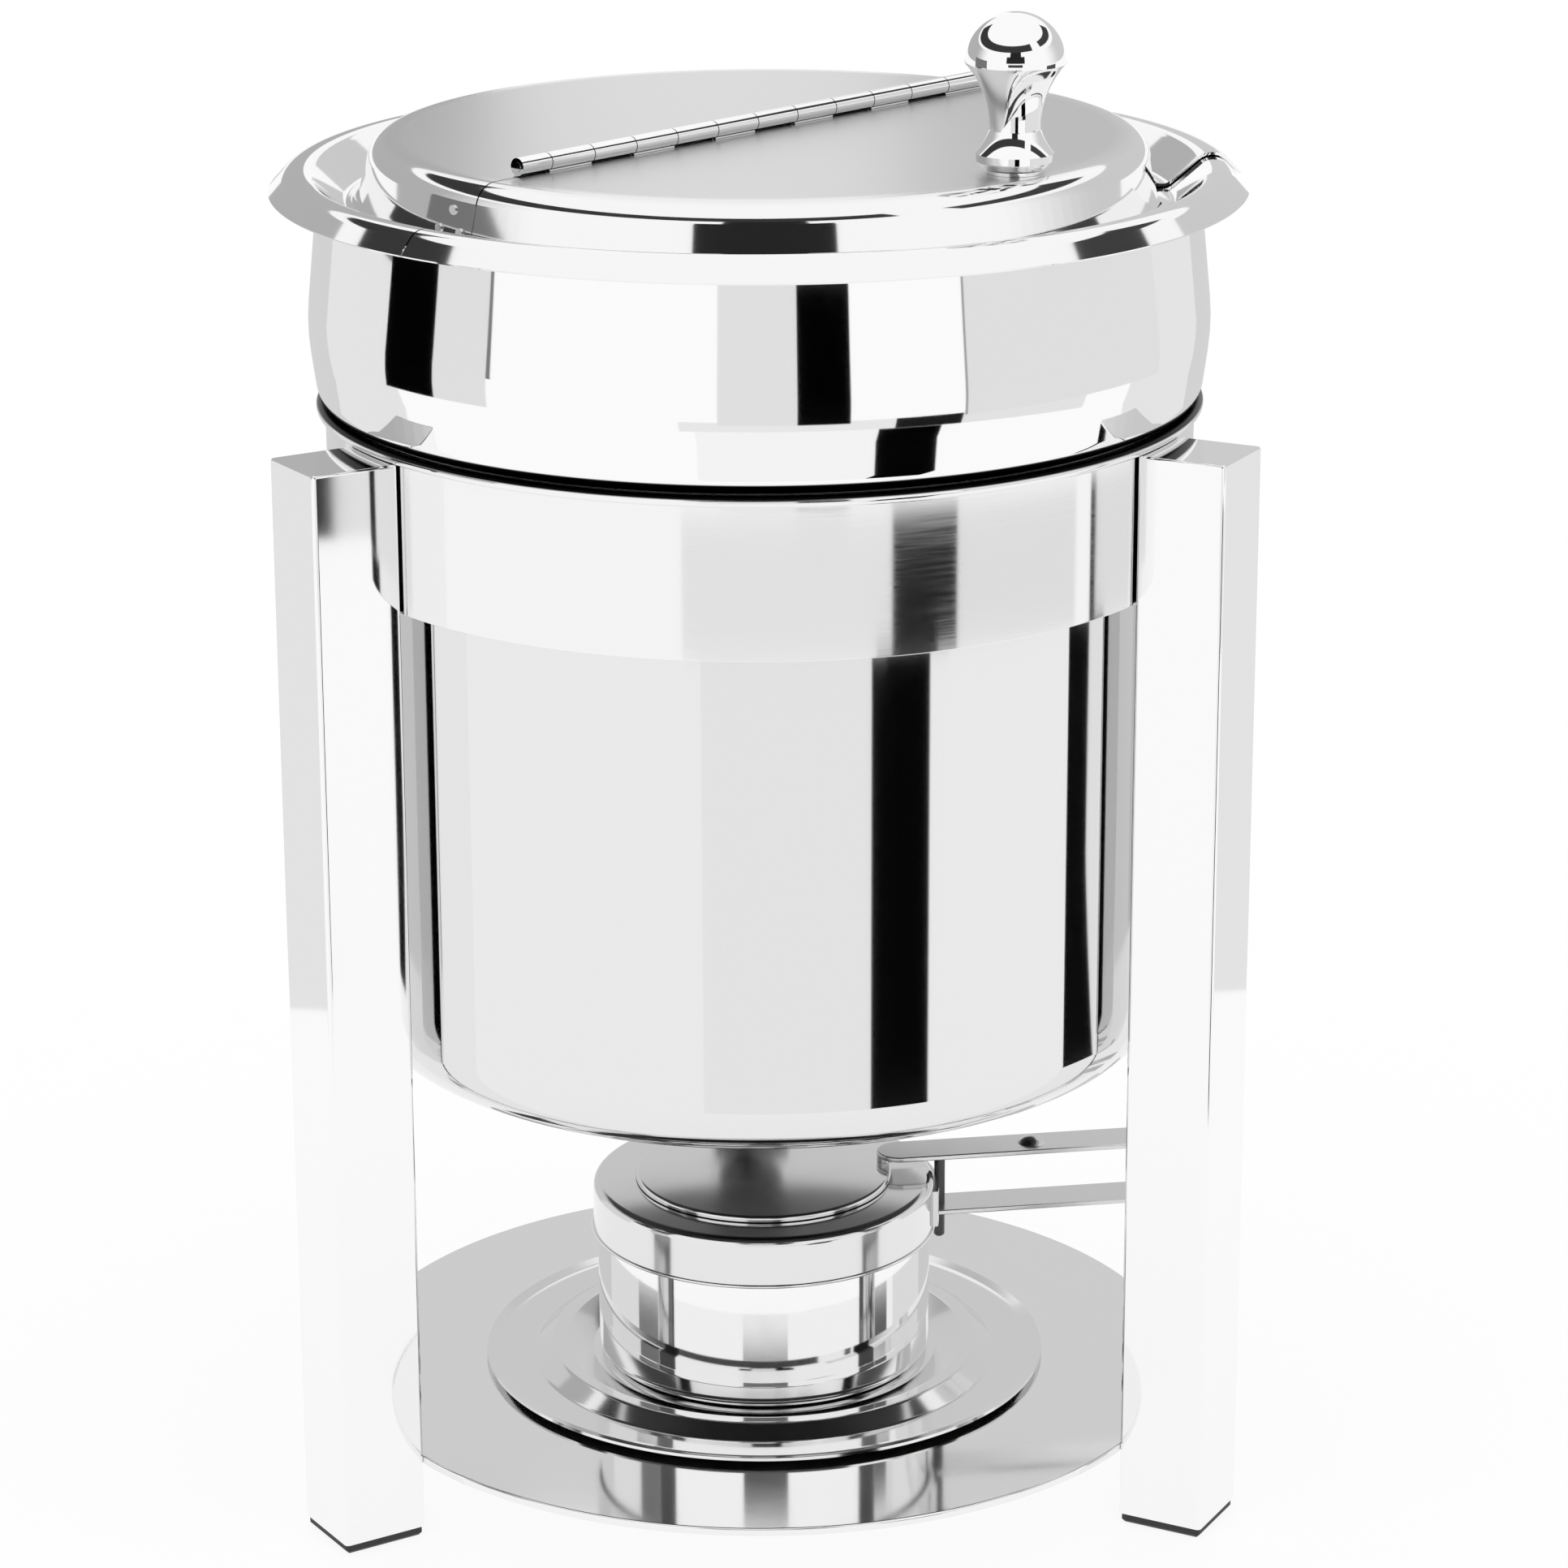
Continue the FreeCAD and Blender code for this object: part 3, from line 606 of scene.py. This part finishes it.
def slot_borders(radius, height, middle, half):
    """Azimuths of the front half's two ends and of the ladle slot's borders, at one ring."""
    slot = math.radians(ladle_azimuth)
    slot_radius = skirt_foot_radius - 2
    if radius >= slit_reach + 0.5:
        width = math.asin(slot_half_width(height) / max(radius, slot_radius))
        return middle - half, slot - width, slot + width, middle + half
    width = math.asin(slot_half_width(slot_top_z) / slot_radius)
    shrink = half / (math.pi / 2)
    return (middle - half, middle + (slot - width - middle) * shrink,
            middle + (slot + width - middle) * shrink, middle + half)


def half_columns(radius, height, front):
    """Azimuths of one ring of a cover half: evenly spaced, but for the borders of the ladle slot."""
    middle = math.radians(knob_azimuth + (0 if front else 180))
    half = math.pi / 2 - math.asin(min(split_half_gap(radius) / radius, 1))
    if not front:
        return spread(middle - half, middle + half, rear_columns)
    azimuths = [middle - half]
    borders = slot_borders(radius, height, middle, half)
    for start, end, count in zip(borders, borders[1:], front_columns):
        azimuths += spread(start, end, count)[1:]
    return azimuths


def wall_piece(builder, top_rings, under_rings, i, column, outward):
    """The narrow wall between a sheet's faces, from ring i to the next, along a column."""
    corners = [top_rings[i][0][column], top_rings[i + 1][0][column],
               under_rings[i + 1][0][column], under_rings[i][0][column]]
    builder.flat_face(corners, outward)


def close_slot(builder, top_rings, under_rings, top, is_slot):
    """The sheet's walls round the ladle slot: both sides, and the arc along its top."""
    left = front_columns[0]
    right = left + front_columns[1]
    rows = [i for i in range(len(top) - 1) if is_slot(i, left)]
    for i in rows:
        for column, sign in ((left, 1), (right, -1)):
            azimuth = top_rings[i][1][column]
            along = Vector((math.cos(azimuth), math.sin(azimuth), 0))
            wall_piece(builder, top_rings, under_rings, i, column, along * sign)
    border = rows[0]
    close_edge(builder, top_rings[border], under_rings[border], top[border][2], False,
               lambda j: is_slot(border, j))


def cover_half(name, front):
    """One half of the cover, with its edges along the split and round the ladle slot."""
    builder = Builder()
    top = cover_samples()
    under = offset_samples(top, -cover_sheet)
    columns = [half_columns(point.x, point.y, front) for point, _, _ in top]
    top_rings = [add_ring(builder, sample[0], azimuths) for sample, azimuths in zip(top, columns)]
    under_rings = [add_ring(builder, sample[0], azimuths) for sample, azimuths in zip(under, columns)]

    def is_slot(i, j):
        low_enough = max(top[i][0].y, top[i + 1][0].y) < slot_top_z + 0.001
        inside = front_columns[0] <= j < front_columns[0] + front_columns[1]
        return front and inside and low_enough and top[i][0].x > slit_reach

    def is_sheet(i, j):
        return not is_slot(i, j)

    add_turned_faces(builder, top, top_rings, 1, False, is_sheet)
    add_turned_faces(builder, under, under_rings, -1, False, is_sheet)
    last = len(top) - 2
    close_edge(builder, top_rings[-1], under_rings[-1], top[-1][1], False, lambda j: is_sheet(last, j))
    over_split = -radial(math.radians(knob_azimuth + (0 if front else 180)))
    for i in range(len(top) - 1):
        for column in (0, -1):
            wall_piece(builder, top_rings, under_rings, i, column, over_split)
    if front:
        close_slot(builder, top_rings, under_rings, top, is_slot)
    return builder.make(name)


# ---------- knob ----------

def bend(a, b):
    """Signed angle from one profile vector to another."""
    return math.atan2(a.x * b.y - a.y * b.x, a.dot(b))


def arc_samples(first, middle, last, steps=knob_steps):
    """Samples along the arc through three profile points, towards the last one."""
    a, b = middle - first, last - first
    cross = 2 * (a.x * b.y - a.y * b.x)
    centre = first + Vector((b.y * a.dot(a) - a.y * b.dot(b), a.x * b.dot(b) - b.x * a.dot(a))) / cross
    start = first - centre
    turn = bend(start, last - centre)
    if bend(start, middle - centre) * turn < 0:
        turn -= math.copysign(2 * math.pi, turn)
    made = []
    for angle in spread(0, turn, steps):
        spoke = Matrix.Rotation(angle, 2) @ start
        tangent = (left_of(spoke) if turn > 0 else -left_of(spoke)).normalized()
        made.append((centre + spoke, tangent, tangent))
    return made


def joined(*runs):
    """Runs of samples as one: where two meet, one sample keeps the tangent on each side."""
    made = list(runs[0])
    for run in runs[1:]:
        point, into, _ = made[-1]
        made[-1] = (point, into, run[0][2])
        made += run[1:]
    return made


def knob():
    """Turned knob: a bevelled foot, a waist, a flared neck and a ball."""
    foot = knob_bottom_z
    ball_z = foot + knob_ball_rise
    slope = knob_ball_radius * math.sin(math.pi / 4)
    foot_edge = rz(knob_foot_radius, foot + knob_bevel)
    foot_top = rz(knob_foot_radius, foot + knob_bevel + knob_foot_height)
    hollow = rz(knob_hollow_radius, foot + knob_hollow_rise)
    waist = rz(knob_waist_radius, foot + knob_waist_rise)
    neck = rz(knob_neck_radius, foot + knob_neck_rise)
    ball_side = rz(knob_ball_radius, ball_z)
    ball_slope = rz(slope, ball_z + slope)
    ball_top = rz(0, ball_z + knob_ball_radius)
    samples = joined(
        sampled([rz(0, foot), rz(knob_foot_radius - knob_bevel, foot), foot_edge, foot_top], [0.3, 0.3]),
        arc_samples(foot_top, hollow, waist),
        arc_samples(waist, neck, ball_side),
        arc_samples(ball_side, ball_slope, ball_top, knob_ball_steps),
    )
    builder = Builder()
    add_turned_faces(builder, samples, add_rings(builder, samples, full_turn), -1, True)
    place = radial(math.radians(knob_azimuth)) * knob_position
    builder.points = [point + place for point in builder.points]
    return builder.make("knob_skin")


# ---------- materials ----------

polish_scale = 60
rubber_scale = 300
# Painted shade: the dark bands below paint the shade of a narrow gap and of the pan's underside into the
# steel's colour, with a duller roughness.
dark_fade = 0.4         # height over which a dark part fades out
# Near-black grey of the painted shade in the gap between the ring's bead and the pan's belly.
gap_shade_grey = 0.004
# Dark grey of the painted shade on the pan's flat bottom over the burner.
underside_shade_grey = 0.04
painted_shade_roughness = 0.3


def new_material(name):
    """An empty node material."""
    material = bpy.data.materials.new(name)
    material.use_nodes = True
    material.node_tree.nodes.clear()
    return material


def shaded_material(name, grey, metallic, roughness):
    """A Principled material of one grey."""
    material = bpy.data.materials.new(name)
    material.use_nodes = True
    shader = principled(material)
    shader.inputs["Base Color"].default_value = opaque(grey)
    shader.inputs["Metallic"].default_value = metallic
    shader.inputs["Roughness"].default_value = roughness
    return material


def principled(material):
    return material.node_tree.nodes["Principled BSDF"]


def opaque(grey):
    return grey, grey, grey, 1


def add_node(material, kind, values=None, feeds=None, **settings):
    """Adds a shader node with its settings, its sockets' values and the outputs that feed them."""
    node = material.node_tree.nodes.new("ShaderNode" + kind)
    for setting, value in settings.items():
        setattr(node, setting, value)
    for socket, value in (values or {}).items():
        node.inputs[socket].default_value = value
    for socket, output in (feeds or {}).items():
        material.node_tree.links.new(output, node.inputs[socket])
    return node


def feed(material, output, socket):
    """Joins an output to a socket of the material's shader."""
    material.node_tree.links.new(output, principled(material).inputs[socket])


def object_place(material):
    return add_node(material, "TexCoord").outputs["Object"]


def add_noise(material, scale, low, high, bump=0.0, stretch=(1, 1, 1)):
    """Varies a material's roughness between two values, with an optional fine bump."""
    mapping = add_node(material, "Mapping", {"Scale": stretch}, {"Vector": object_place(material)})
    noise = add_node(material, "TexNoise", {"Scale": scale, "Detail": 4},
                     {"Vector": mapping.outputs["Vector"]})
    span = add_node(material, "MapRange", {"To Min": low, "To Max": high}, {"Value": noise.outputs["Fac"]})
    feed(material, span.outputs["Result"], "Roughness")
    if bump:
        bumps = add_node(material, "Bump", {"Strength": bump, "Distance": 0.0005},
                         {"Height": noise.outputs["Fac"]})
        feed(material, bumps.outputs["Normal"], "Normal")
    return material


def painted_dark_band(material, low, high, grey, roughness):
    """Darkens a material between two heights: painted shade, for a gap or an underside of polished steel
    that lies in shade.
    """
    half = (high - low) / 2
    apart = add_node(material, "SeparateXYZ", feeds={"Vector": object_place(material)})
    away = add_node(material, "Math", {1: (low + high) / 2 * MM}, {0: apart.outputs["Z"]},
                    operation="SUBTRACT")
    distance = add_node(material, "Math", feeds={0: away.outputs["Value"]}, operation="ABSOLUTE")
    part = add_node(material, "MapRange", {"From Min": half * MM, "From Max": (half + dark_fade) * MM},
                    {"Value": distance.outputs["Value"]})
    for socket, dark, settings in (("Base Color", opaque(grey), {"data_type": "RGBA"}),
                                   ("Roughness", roughness, {})):
        plain = principled(material).inputs[socket]
        blend = add_node(material, "Mix", {"A": dark}, {"Factor": part.outputs["Result"]}, **settings)
        if plain.is_linked:
            material.node_tree.links.new(plain.links[0].from_socket, blend.inputs["B"])
        else:
            blend.inputs["B"].default_value = plain.default_value
        feed(material, blend.outputs["Result"], socket)
    return material


def graded_steel(name, axis, start, end, low, high):
    """Steel whose grey and roughness change between two heights, or between two radii."""
    material = shaded_material(name, high[0], 1.0, high[1])
    apart = add_node(material, "SeparateXYZ", feeds={"Vector": object_place(material)}).outputs
    measure = apart["Z"]
    if axis == "radius":
        flat = add_node(material, "CombineXYZ", feeds={"X": apart["X"], "Y": apart["Y"]})
        length = add_node(material, "VectorMath", feeds={0: flat.outputs["Vector"]}, operation="LENGTH")
        measure = length.outputs["Value"]
    grade = add_node(material, "MapRange", {"From Min": start * MM, "From Max": end * MM},
                     {"Value": measure}).outputs["Result"]
    rough = add_node(material, "MapRange", {"To Min": low[1], "To Max": high[1]}, {"Value": grade})
    feed(material, rough.outputs["Result"], "Roughness")
    tint = add_node(material, "Mix", {"A": opaque(low[0]), "B": opaque(high[0])}, {"Factor": grade},
                    data_type="RGBA")
    feed(material, tint.outputs["Result"], "Base Color")
    return material


def steel(name, grey, roughness, low, high, stretch=(1, 1, 1)):
    """Steel of one grey whose polish varies a little."""
    return add_noise(shaded_material(name, grey, 1.0, roughness), polish_scale, low, high, stretch=stretch)


mirror = steel("mirror_steel", 0.95, 0.05, 0.03, 0.06)
band_steel = steel("band_steel", 0.90, 0.07, 0.04, 0.12, (1, 1, 25))
# Painted shade: the top of the ring's bead is darkened to a near-black line, for the shaded gap under the
# belly.
band_steel = painted_dark_band(band_steel, leg_top_z + 2.3, leg_top_z + 4, gap_shade_grey, painted_shade_roughness)
# Painted shade: the pan below the stand's band is given a darker grey than the belly above it.
pan_steel = graded_steel("pan_steel", "height", band_bottom_z + 10, leg_top_z, (0.82, 0.05), (0.96, 0.04))
# Painted shade: the pan's flat bottom, over the burner, is darkened to a dark grey for the shade under the
# pan.
pan_steel = painted_dark_band(pan_steel, pan_bottom_z - 1, pan_bottom_z + 0.4, underside_shade_grey, painted_shade_roughness)
# Painted shade: the belly's underside, where it sits on the ring, is darkened to the same near-black line.
pan_steel = painted_dark_band(pan_steel, pan_seat_z - 1, pan_seat_z + 3.4, gap_shade_grey, painted_shade_roughness)
cover_steel = graded_steel("cover_steel", "radius", cover_top_radius - 9, cover_top_radius - 2,
                           (0.66, 0.30), (0.92, 0.06))
plate_steel = steel("plate_steel", 0.90, 0.08, 0.06, 0.10)
dish_steel = steel("dish_steel", 0.84, 0.1, 0.08, 0.12)
satin = steel("satin_steel", 0.75, 0.25, 0.2, 0.3)
burner_satin = steel("burner_satin", 0.80, 0.12, 0.09, 0.14)
# Painted shade: the pivot pin lies in shadow and is given a near-black steel for it.
painted_shade_pin_steel = steel("painted_shade_pin_steel", 0.10, 0.35, 0.3, 0.4)
rubber = add_noise(shaded_material("rubber", 0.02, 0.0, 0.6), rubber_scale, 0.5, 0.7, 0.2)


def paint(obj, material):
    """Gives an object one material."""
    obj.data.materials.clear()
    obj.data.materials.append(material)


cad_materials = {
    "leg_left": mirror, "leg_right": mirror, "leg_rear": mirror, "leg_caps": mirror, "foot_pads": rubber,
    "cap_handle": satin, "pivot_pin": painted_shade_pin_steel, "snuffer_handle": satin, "handle_stud": satin,
    "hinge_leaf_rear": mirror, "hinge_leaf_front": mirror, "hinge_pin": mirror, "seat_tabs": satin,
    "tab_rivets": satin, "knob_washer": mirror, "knob_screw": mirror,
    "stand_ring": mirror, "base_plate": mirror, "burner_dish": mirror, "fuel_cup": mirror,
    "holder_cap": burner_satin, "snuffer_disc": burner_satin, "water_pan": mirror, "food_pan": mirror,
    "cover_rear": satin, "cover_front": satin, "knob": mirror,
}
for node, material in cad_materials.items():
    paint(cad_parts[node], material)


def show(obj, body, node, material):
    """Puts a new piece on its body, in place of its CAD solid."""
    paint(obj, material)
    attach(obj, body)
    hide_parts(node)


show(stand_ring(), "stand", "stand_ring", band_steel)
show(base_plate(), "stand", "base_plate", plate_steel)
show(burner_dish(), "stand", "burner_dish", dish_steel)
show(fuel_cup(), "cup", "fuel_cup", mirror)
for piece in holder_cap():
    show(piece, "cap", "holder_cap", burner_satin)
show(snuffer_disc(), "snuffer", "snuffer_disc", burner_satin)
show(water_pan(), "water_pan", "water_pan", pan_steel)
show(food_pan(), "food_pan", "food_pan", mirror)
show(cover_half("cover_front_skin", True), "cover_flap", "cover_front", cover_steel)
show(cover_half("cover_rear_skin", False), "cover", "cover_rear", cover_steel)
show(knob(), "cover_flap", "knob", mirror)


# ---------- stage ----------

floor_half_width = 6.0  # metres
floor_matt_share = 0.12
panel_clearance = 1.0   # of the lowest panels above the floor

# The panels that the round walls mirror stand on a wide ring round the kettle, well clear of it, as a
# photographer's flags do. The belly's stand nearer than those of the walls below it.
near_surround = 400.0
surround = 700.0

# Each wall: its radius, low height and lean of its normal there, high height and lean there, and the
# radius that its panels stand at.
belly_wall = (belly_radius, belly_z - 2, -2.5, belly_z + 33, 6.2, near_surround)
band_wall = (band_radius, band_bottom_z, 0.0, leg_top_z - 3, 0.0, surround)
pot_wall = (pan_radius, pan_bottom_z + 8, 0.0, band_bottom_z, 0.0, surround)

# Each stripe: its wall, from and to (azimuth on the wall, from the camera's side) and its grey.
stripes = (
    (belly_wall, -52, -43, 0.0),
    (belly_wall, -43, -34.5, 0.76),
    (belly_wall, -5.0, 4.4, 0.77),
    (belly_wall, 4.4, 10.7, 0.0),
    (belly_wall, 25, 25.3, 0.3),
    (belly_wall, 25.3, 58, 0.76),
    (band_wall, -9.7, 16.4, 0.83),
    (band_wall, 16.4, 25.0, 0.01),
    (band_wall, 25.0, 43.5, 0.79),
    (pot_wall, -7.8, 14.4, 0.93),
    (pot_wall, 14.4, 22.4, 0.0),
)

# Each upright panel: its name, radius, from and to (azimuth), from and to (height) and its grey.
upright_panels = (
    ("panel_front", 800, -19.5, 19, 500, 700, 0.02),
    ("panel_front_high", 800, -12, 12, 700, 860, 0.02),
    ("panel_back", 520, 130, 230, panel_clearance, 330, 0.66),
    ("panel_left", 520, -130, -95, panel_clearance, 330, 0.80),
    ("panel_right", 520, 95, 130, panel_clearance, 330, 0.80),
    ("panel_cup_front", 900, -16, 14, 385, 470, 0.05),
    ("panel_cup_right", 720, 66, 90, 285, 385, 0.08),
    ("panel_skirt_left", 720, -104, -66, 285, 500, 0.18),
    ("panel_high_left", 800, -150, 40, 860, 1180, 0.04),
    ("panel_high_right", 800, 62, 130, 900, 1150, 0.05),
)

# The tall side panels go from white near the front to a grey behind, the left ones darker.
side_radius = 900
side_start = 62
side_end = 172
side_step = 4
side_fade = 45
side_low_z = 400
side_high_z = 830
side_darkest = ((-1, 0.45), (1, 0.62))


def emission(name, strength):
    """A material that glows in one grey."""
    material = new_material(name)
    glow = add_node(material, "Emission", {"Color": opaque(strength)})
    add_node(material, "OutputMaterial", feeds={"Surface": glow.outputs["Emission"]})
    return material


def floor_material():
    """Near-white floor: mostly glow, with a little diffuse white that takes the object's shadow."""
    material = new_material("floor_white")
    glow = add_node(material, "Emission", {"Color": opaque(1)})
    matt = add_node(material, "BsdfDiffuse", {"Color": opaque(1)})
    mix = add_node(material, "MixShader", {"Fac": floor_matt_share},
                   {1: glow.outputs["Emission"], 2: matt.outputs["BSDF"]})
    add_node(material, "OutputMaterial", feeds={"Surface": mix.outputs["Shader"]})
    return material


def floor():
    """One large square."""
    size = floor_half_width
    corners = [(-size, -size, 0), (size, -size, 0), (size, size, 0), (-size, size, 0)]
    mesh = bpy.data.meshes.new("floor")
    mesh.from_pydata(corners, [], [(0, 1, 2, 3)])
    obj = bpy.data.objects.new("floor", mesh)
    bpy.context.scene.collection.objects.link(obj)
    paint(obj, floor_material())
    return obj


def mirrored_hit(radius, height, tilt, azimuth, reach_radius):
    """Where the camera's ray, mirrored by a point of a round wall, meets the surround or the floor.

    The azimuth is counted from the camera's side; the tilt leans the wall's normal upwards."""
    point = on_ring(radius, height, math.radians(azimuth))
    tilt = math.radians(tilt)
    normal = on_ring(math.cos(tilt), math.sin(tilt), math.radians(azimuth))
    ray = (point - Vector((0, -camera_distance, camera_height))).normalized()
    ray -= normal * (2 * ray.dot(normal))
    level = Vector((ray.x, ray.y, 0))
    along = point.dot(level) / level.length
    reach = -along + math.sqrt(along * along - radius ** 2 + reach_radius ** 2)
    hit = point + ray * (reach / level.length)
    if hit.z < panel_clearance:
        hit = point + ray * ((panel_clearance - point.z) / ray.z)
    return Matrix.Rotation(math.radians(camera_azimuth), 3, "Z") @ hit


def panel_mesh(name, rows, grey):
    """A sheet through rows of points: it is seen only in mirror images."""
    builder = Builder()
    ids = [[builder.add(point) for point in row] for row in rows]
    for low, high in zip(ids, ids[1:]):
        for k in range(len(low) - 1):
            builder.flat_face([low[k], low[k + 1], high[k + 1], high[k]], -builder.points[low[k]])
    obj = builder.make(name)
    paint(obj, emission(name, grey))
    obj.visible_camera = False
    obj.visible_diffuse = False
    obj.visible_shadow = False
    obj.visible_transmission = False
    return obj


def wall_panel(name, wall, start, end, grey):
    """Panel whose mirror image covers a span of azimuths on a round wall, over its whole height."""
    radius, low, low_lean, high, high_lean, reach = wall
    heights = spread(low, high, panel_rows)
    leans = spread(low_lean, high_lean, panel_rows)
    azimuths = spread(start, end, panel_columns)
    rows = [[mirrored_hit(radius, height, lean, azimuth, reach) for azimuth in azimuths]
            for height, lean in zip(heights, leans)]
    return panel_mesh(name, rows, grey)


def upright_panel(name, radius, start, end, low, high, grey):
    """Upright curved panel at a radius, between two azimuths and two heights."""
    count = max(8, round((end - start) / 2))
    azimuths = [math.radians(azimuth) for azimuth in spread(start, end, count)]
    rows = [[on_ring(radius, height, azimuth) for azimuth in azimuths] for height in (low, high)]
    return panel_mesh(name, rows, grey)


def side_grey(turned, darkest):
    """Grey of a side panel: it falls smoothly from white as the panels turn away from the front."""
    part = min(max((turned - side_start) / side_fade, 0), 1)
    return 1.0 - (1.0 - darkest) * part * part * (3 - 2 * part)


def stage_pieces():
    """The floor, and the studio's surround, which shows only in mirror images."""
    pieces = [floor()]
    for k, stripe in enumerate(stripes):
        pieces.append(wall_panel("panel_wall_%d" % k, *stripe))
    for row in upright_panels:
        pieces.append(upright_panel(*row))
    for turned in range(side_start, side_end, side_step):
        for side, darkest in side_darkest:
            start, end = sorted((side * turned, side * (turned + side_step)))
            pieces.append(upright_panel("panel_side_%d" % (side * turned), side_radius, start, end,
                                        side_low_z, side_high_z, side_grey(turned, darkest)))
    return pieces


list(stage_pieces())


def set_world():
    """A plain white world at a strength of 1."""
    world = bpy.context.scene.world or bpy.data.worlds.new("world")
    bpy.context.scene.world = world
    world.use_nodes = True
    background = world.node_tree.nodes["Background"]
    background.inputs["Color"].default_value = (1, 1, 1, 1)
    background.inputs["Strength"].default_value = 1.0


def set_camera():
    """Camera in front of the stand, turned a little to its left, looking down at it."""
    pitch, yaw, roll = (math.radians(angle) for angle in (camera_pitch, camera_yaw, camera_roll))
    forward = Vector((math.sin(yaw) * math.cos(pitch), math.cos(yaw) * math.cos(pitch), -math.sin(pitch)))
    right = forward.cross(Vector((0, 0, 1))).normalized()
    up = right.cross(forward)
    across = right * math.cos(roll) + up * math.sin(roll)
    upright = up * math.cos(roll) - right * math.sin(roll)
    turn = Matrix.Rotation(math.radians(camera_azimuth), 3, "Z")
    axes = Matrix((turn @ across, turn @ upright, turn @ -forward)).transposed()
    place = turn @ Vector((camera_side, -camera_distance, camera_height))
    data = bpy.data.cameras.new("camera")
    data.lens = camera_lens
    data.sensor_width = sensor_width
    data.clip_start = 0.05
    data.clip_end = 50
    camera = bpy.data.objects.new("camera", data)
    camera.matrix_world = Matrix.Translation(place * MM) @ axes.to_4x4()
    bpy.context.scene.collection.objects.link(camera)
    bpy.context.scene.camera = camera


set_world()
set_camera()
bpy.context.scene.view_settings.view_transform = "Standard"
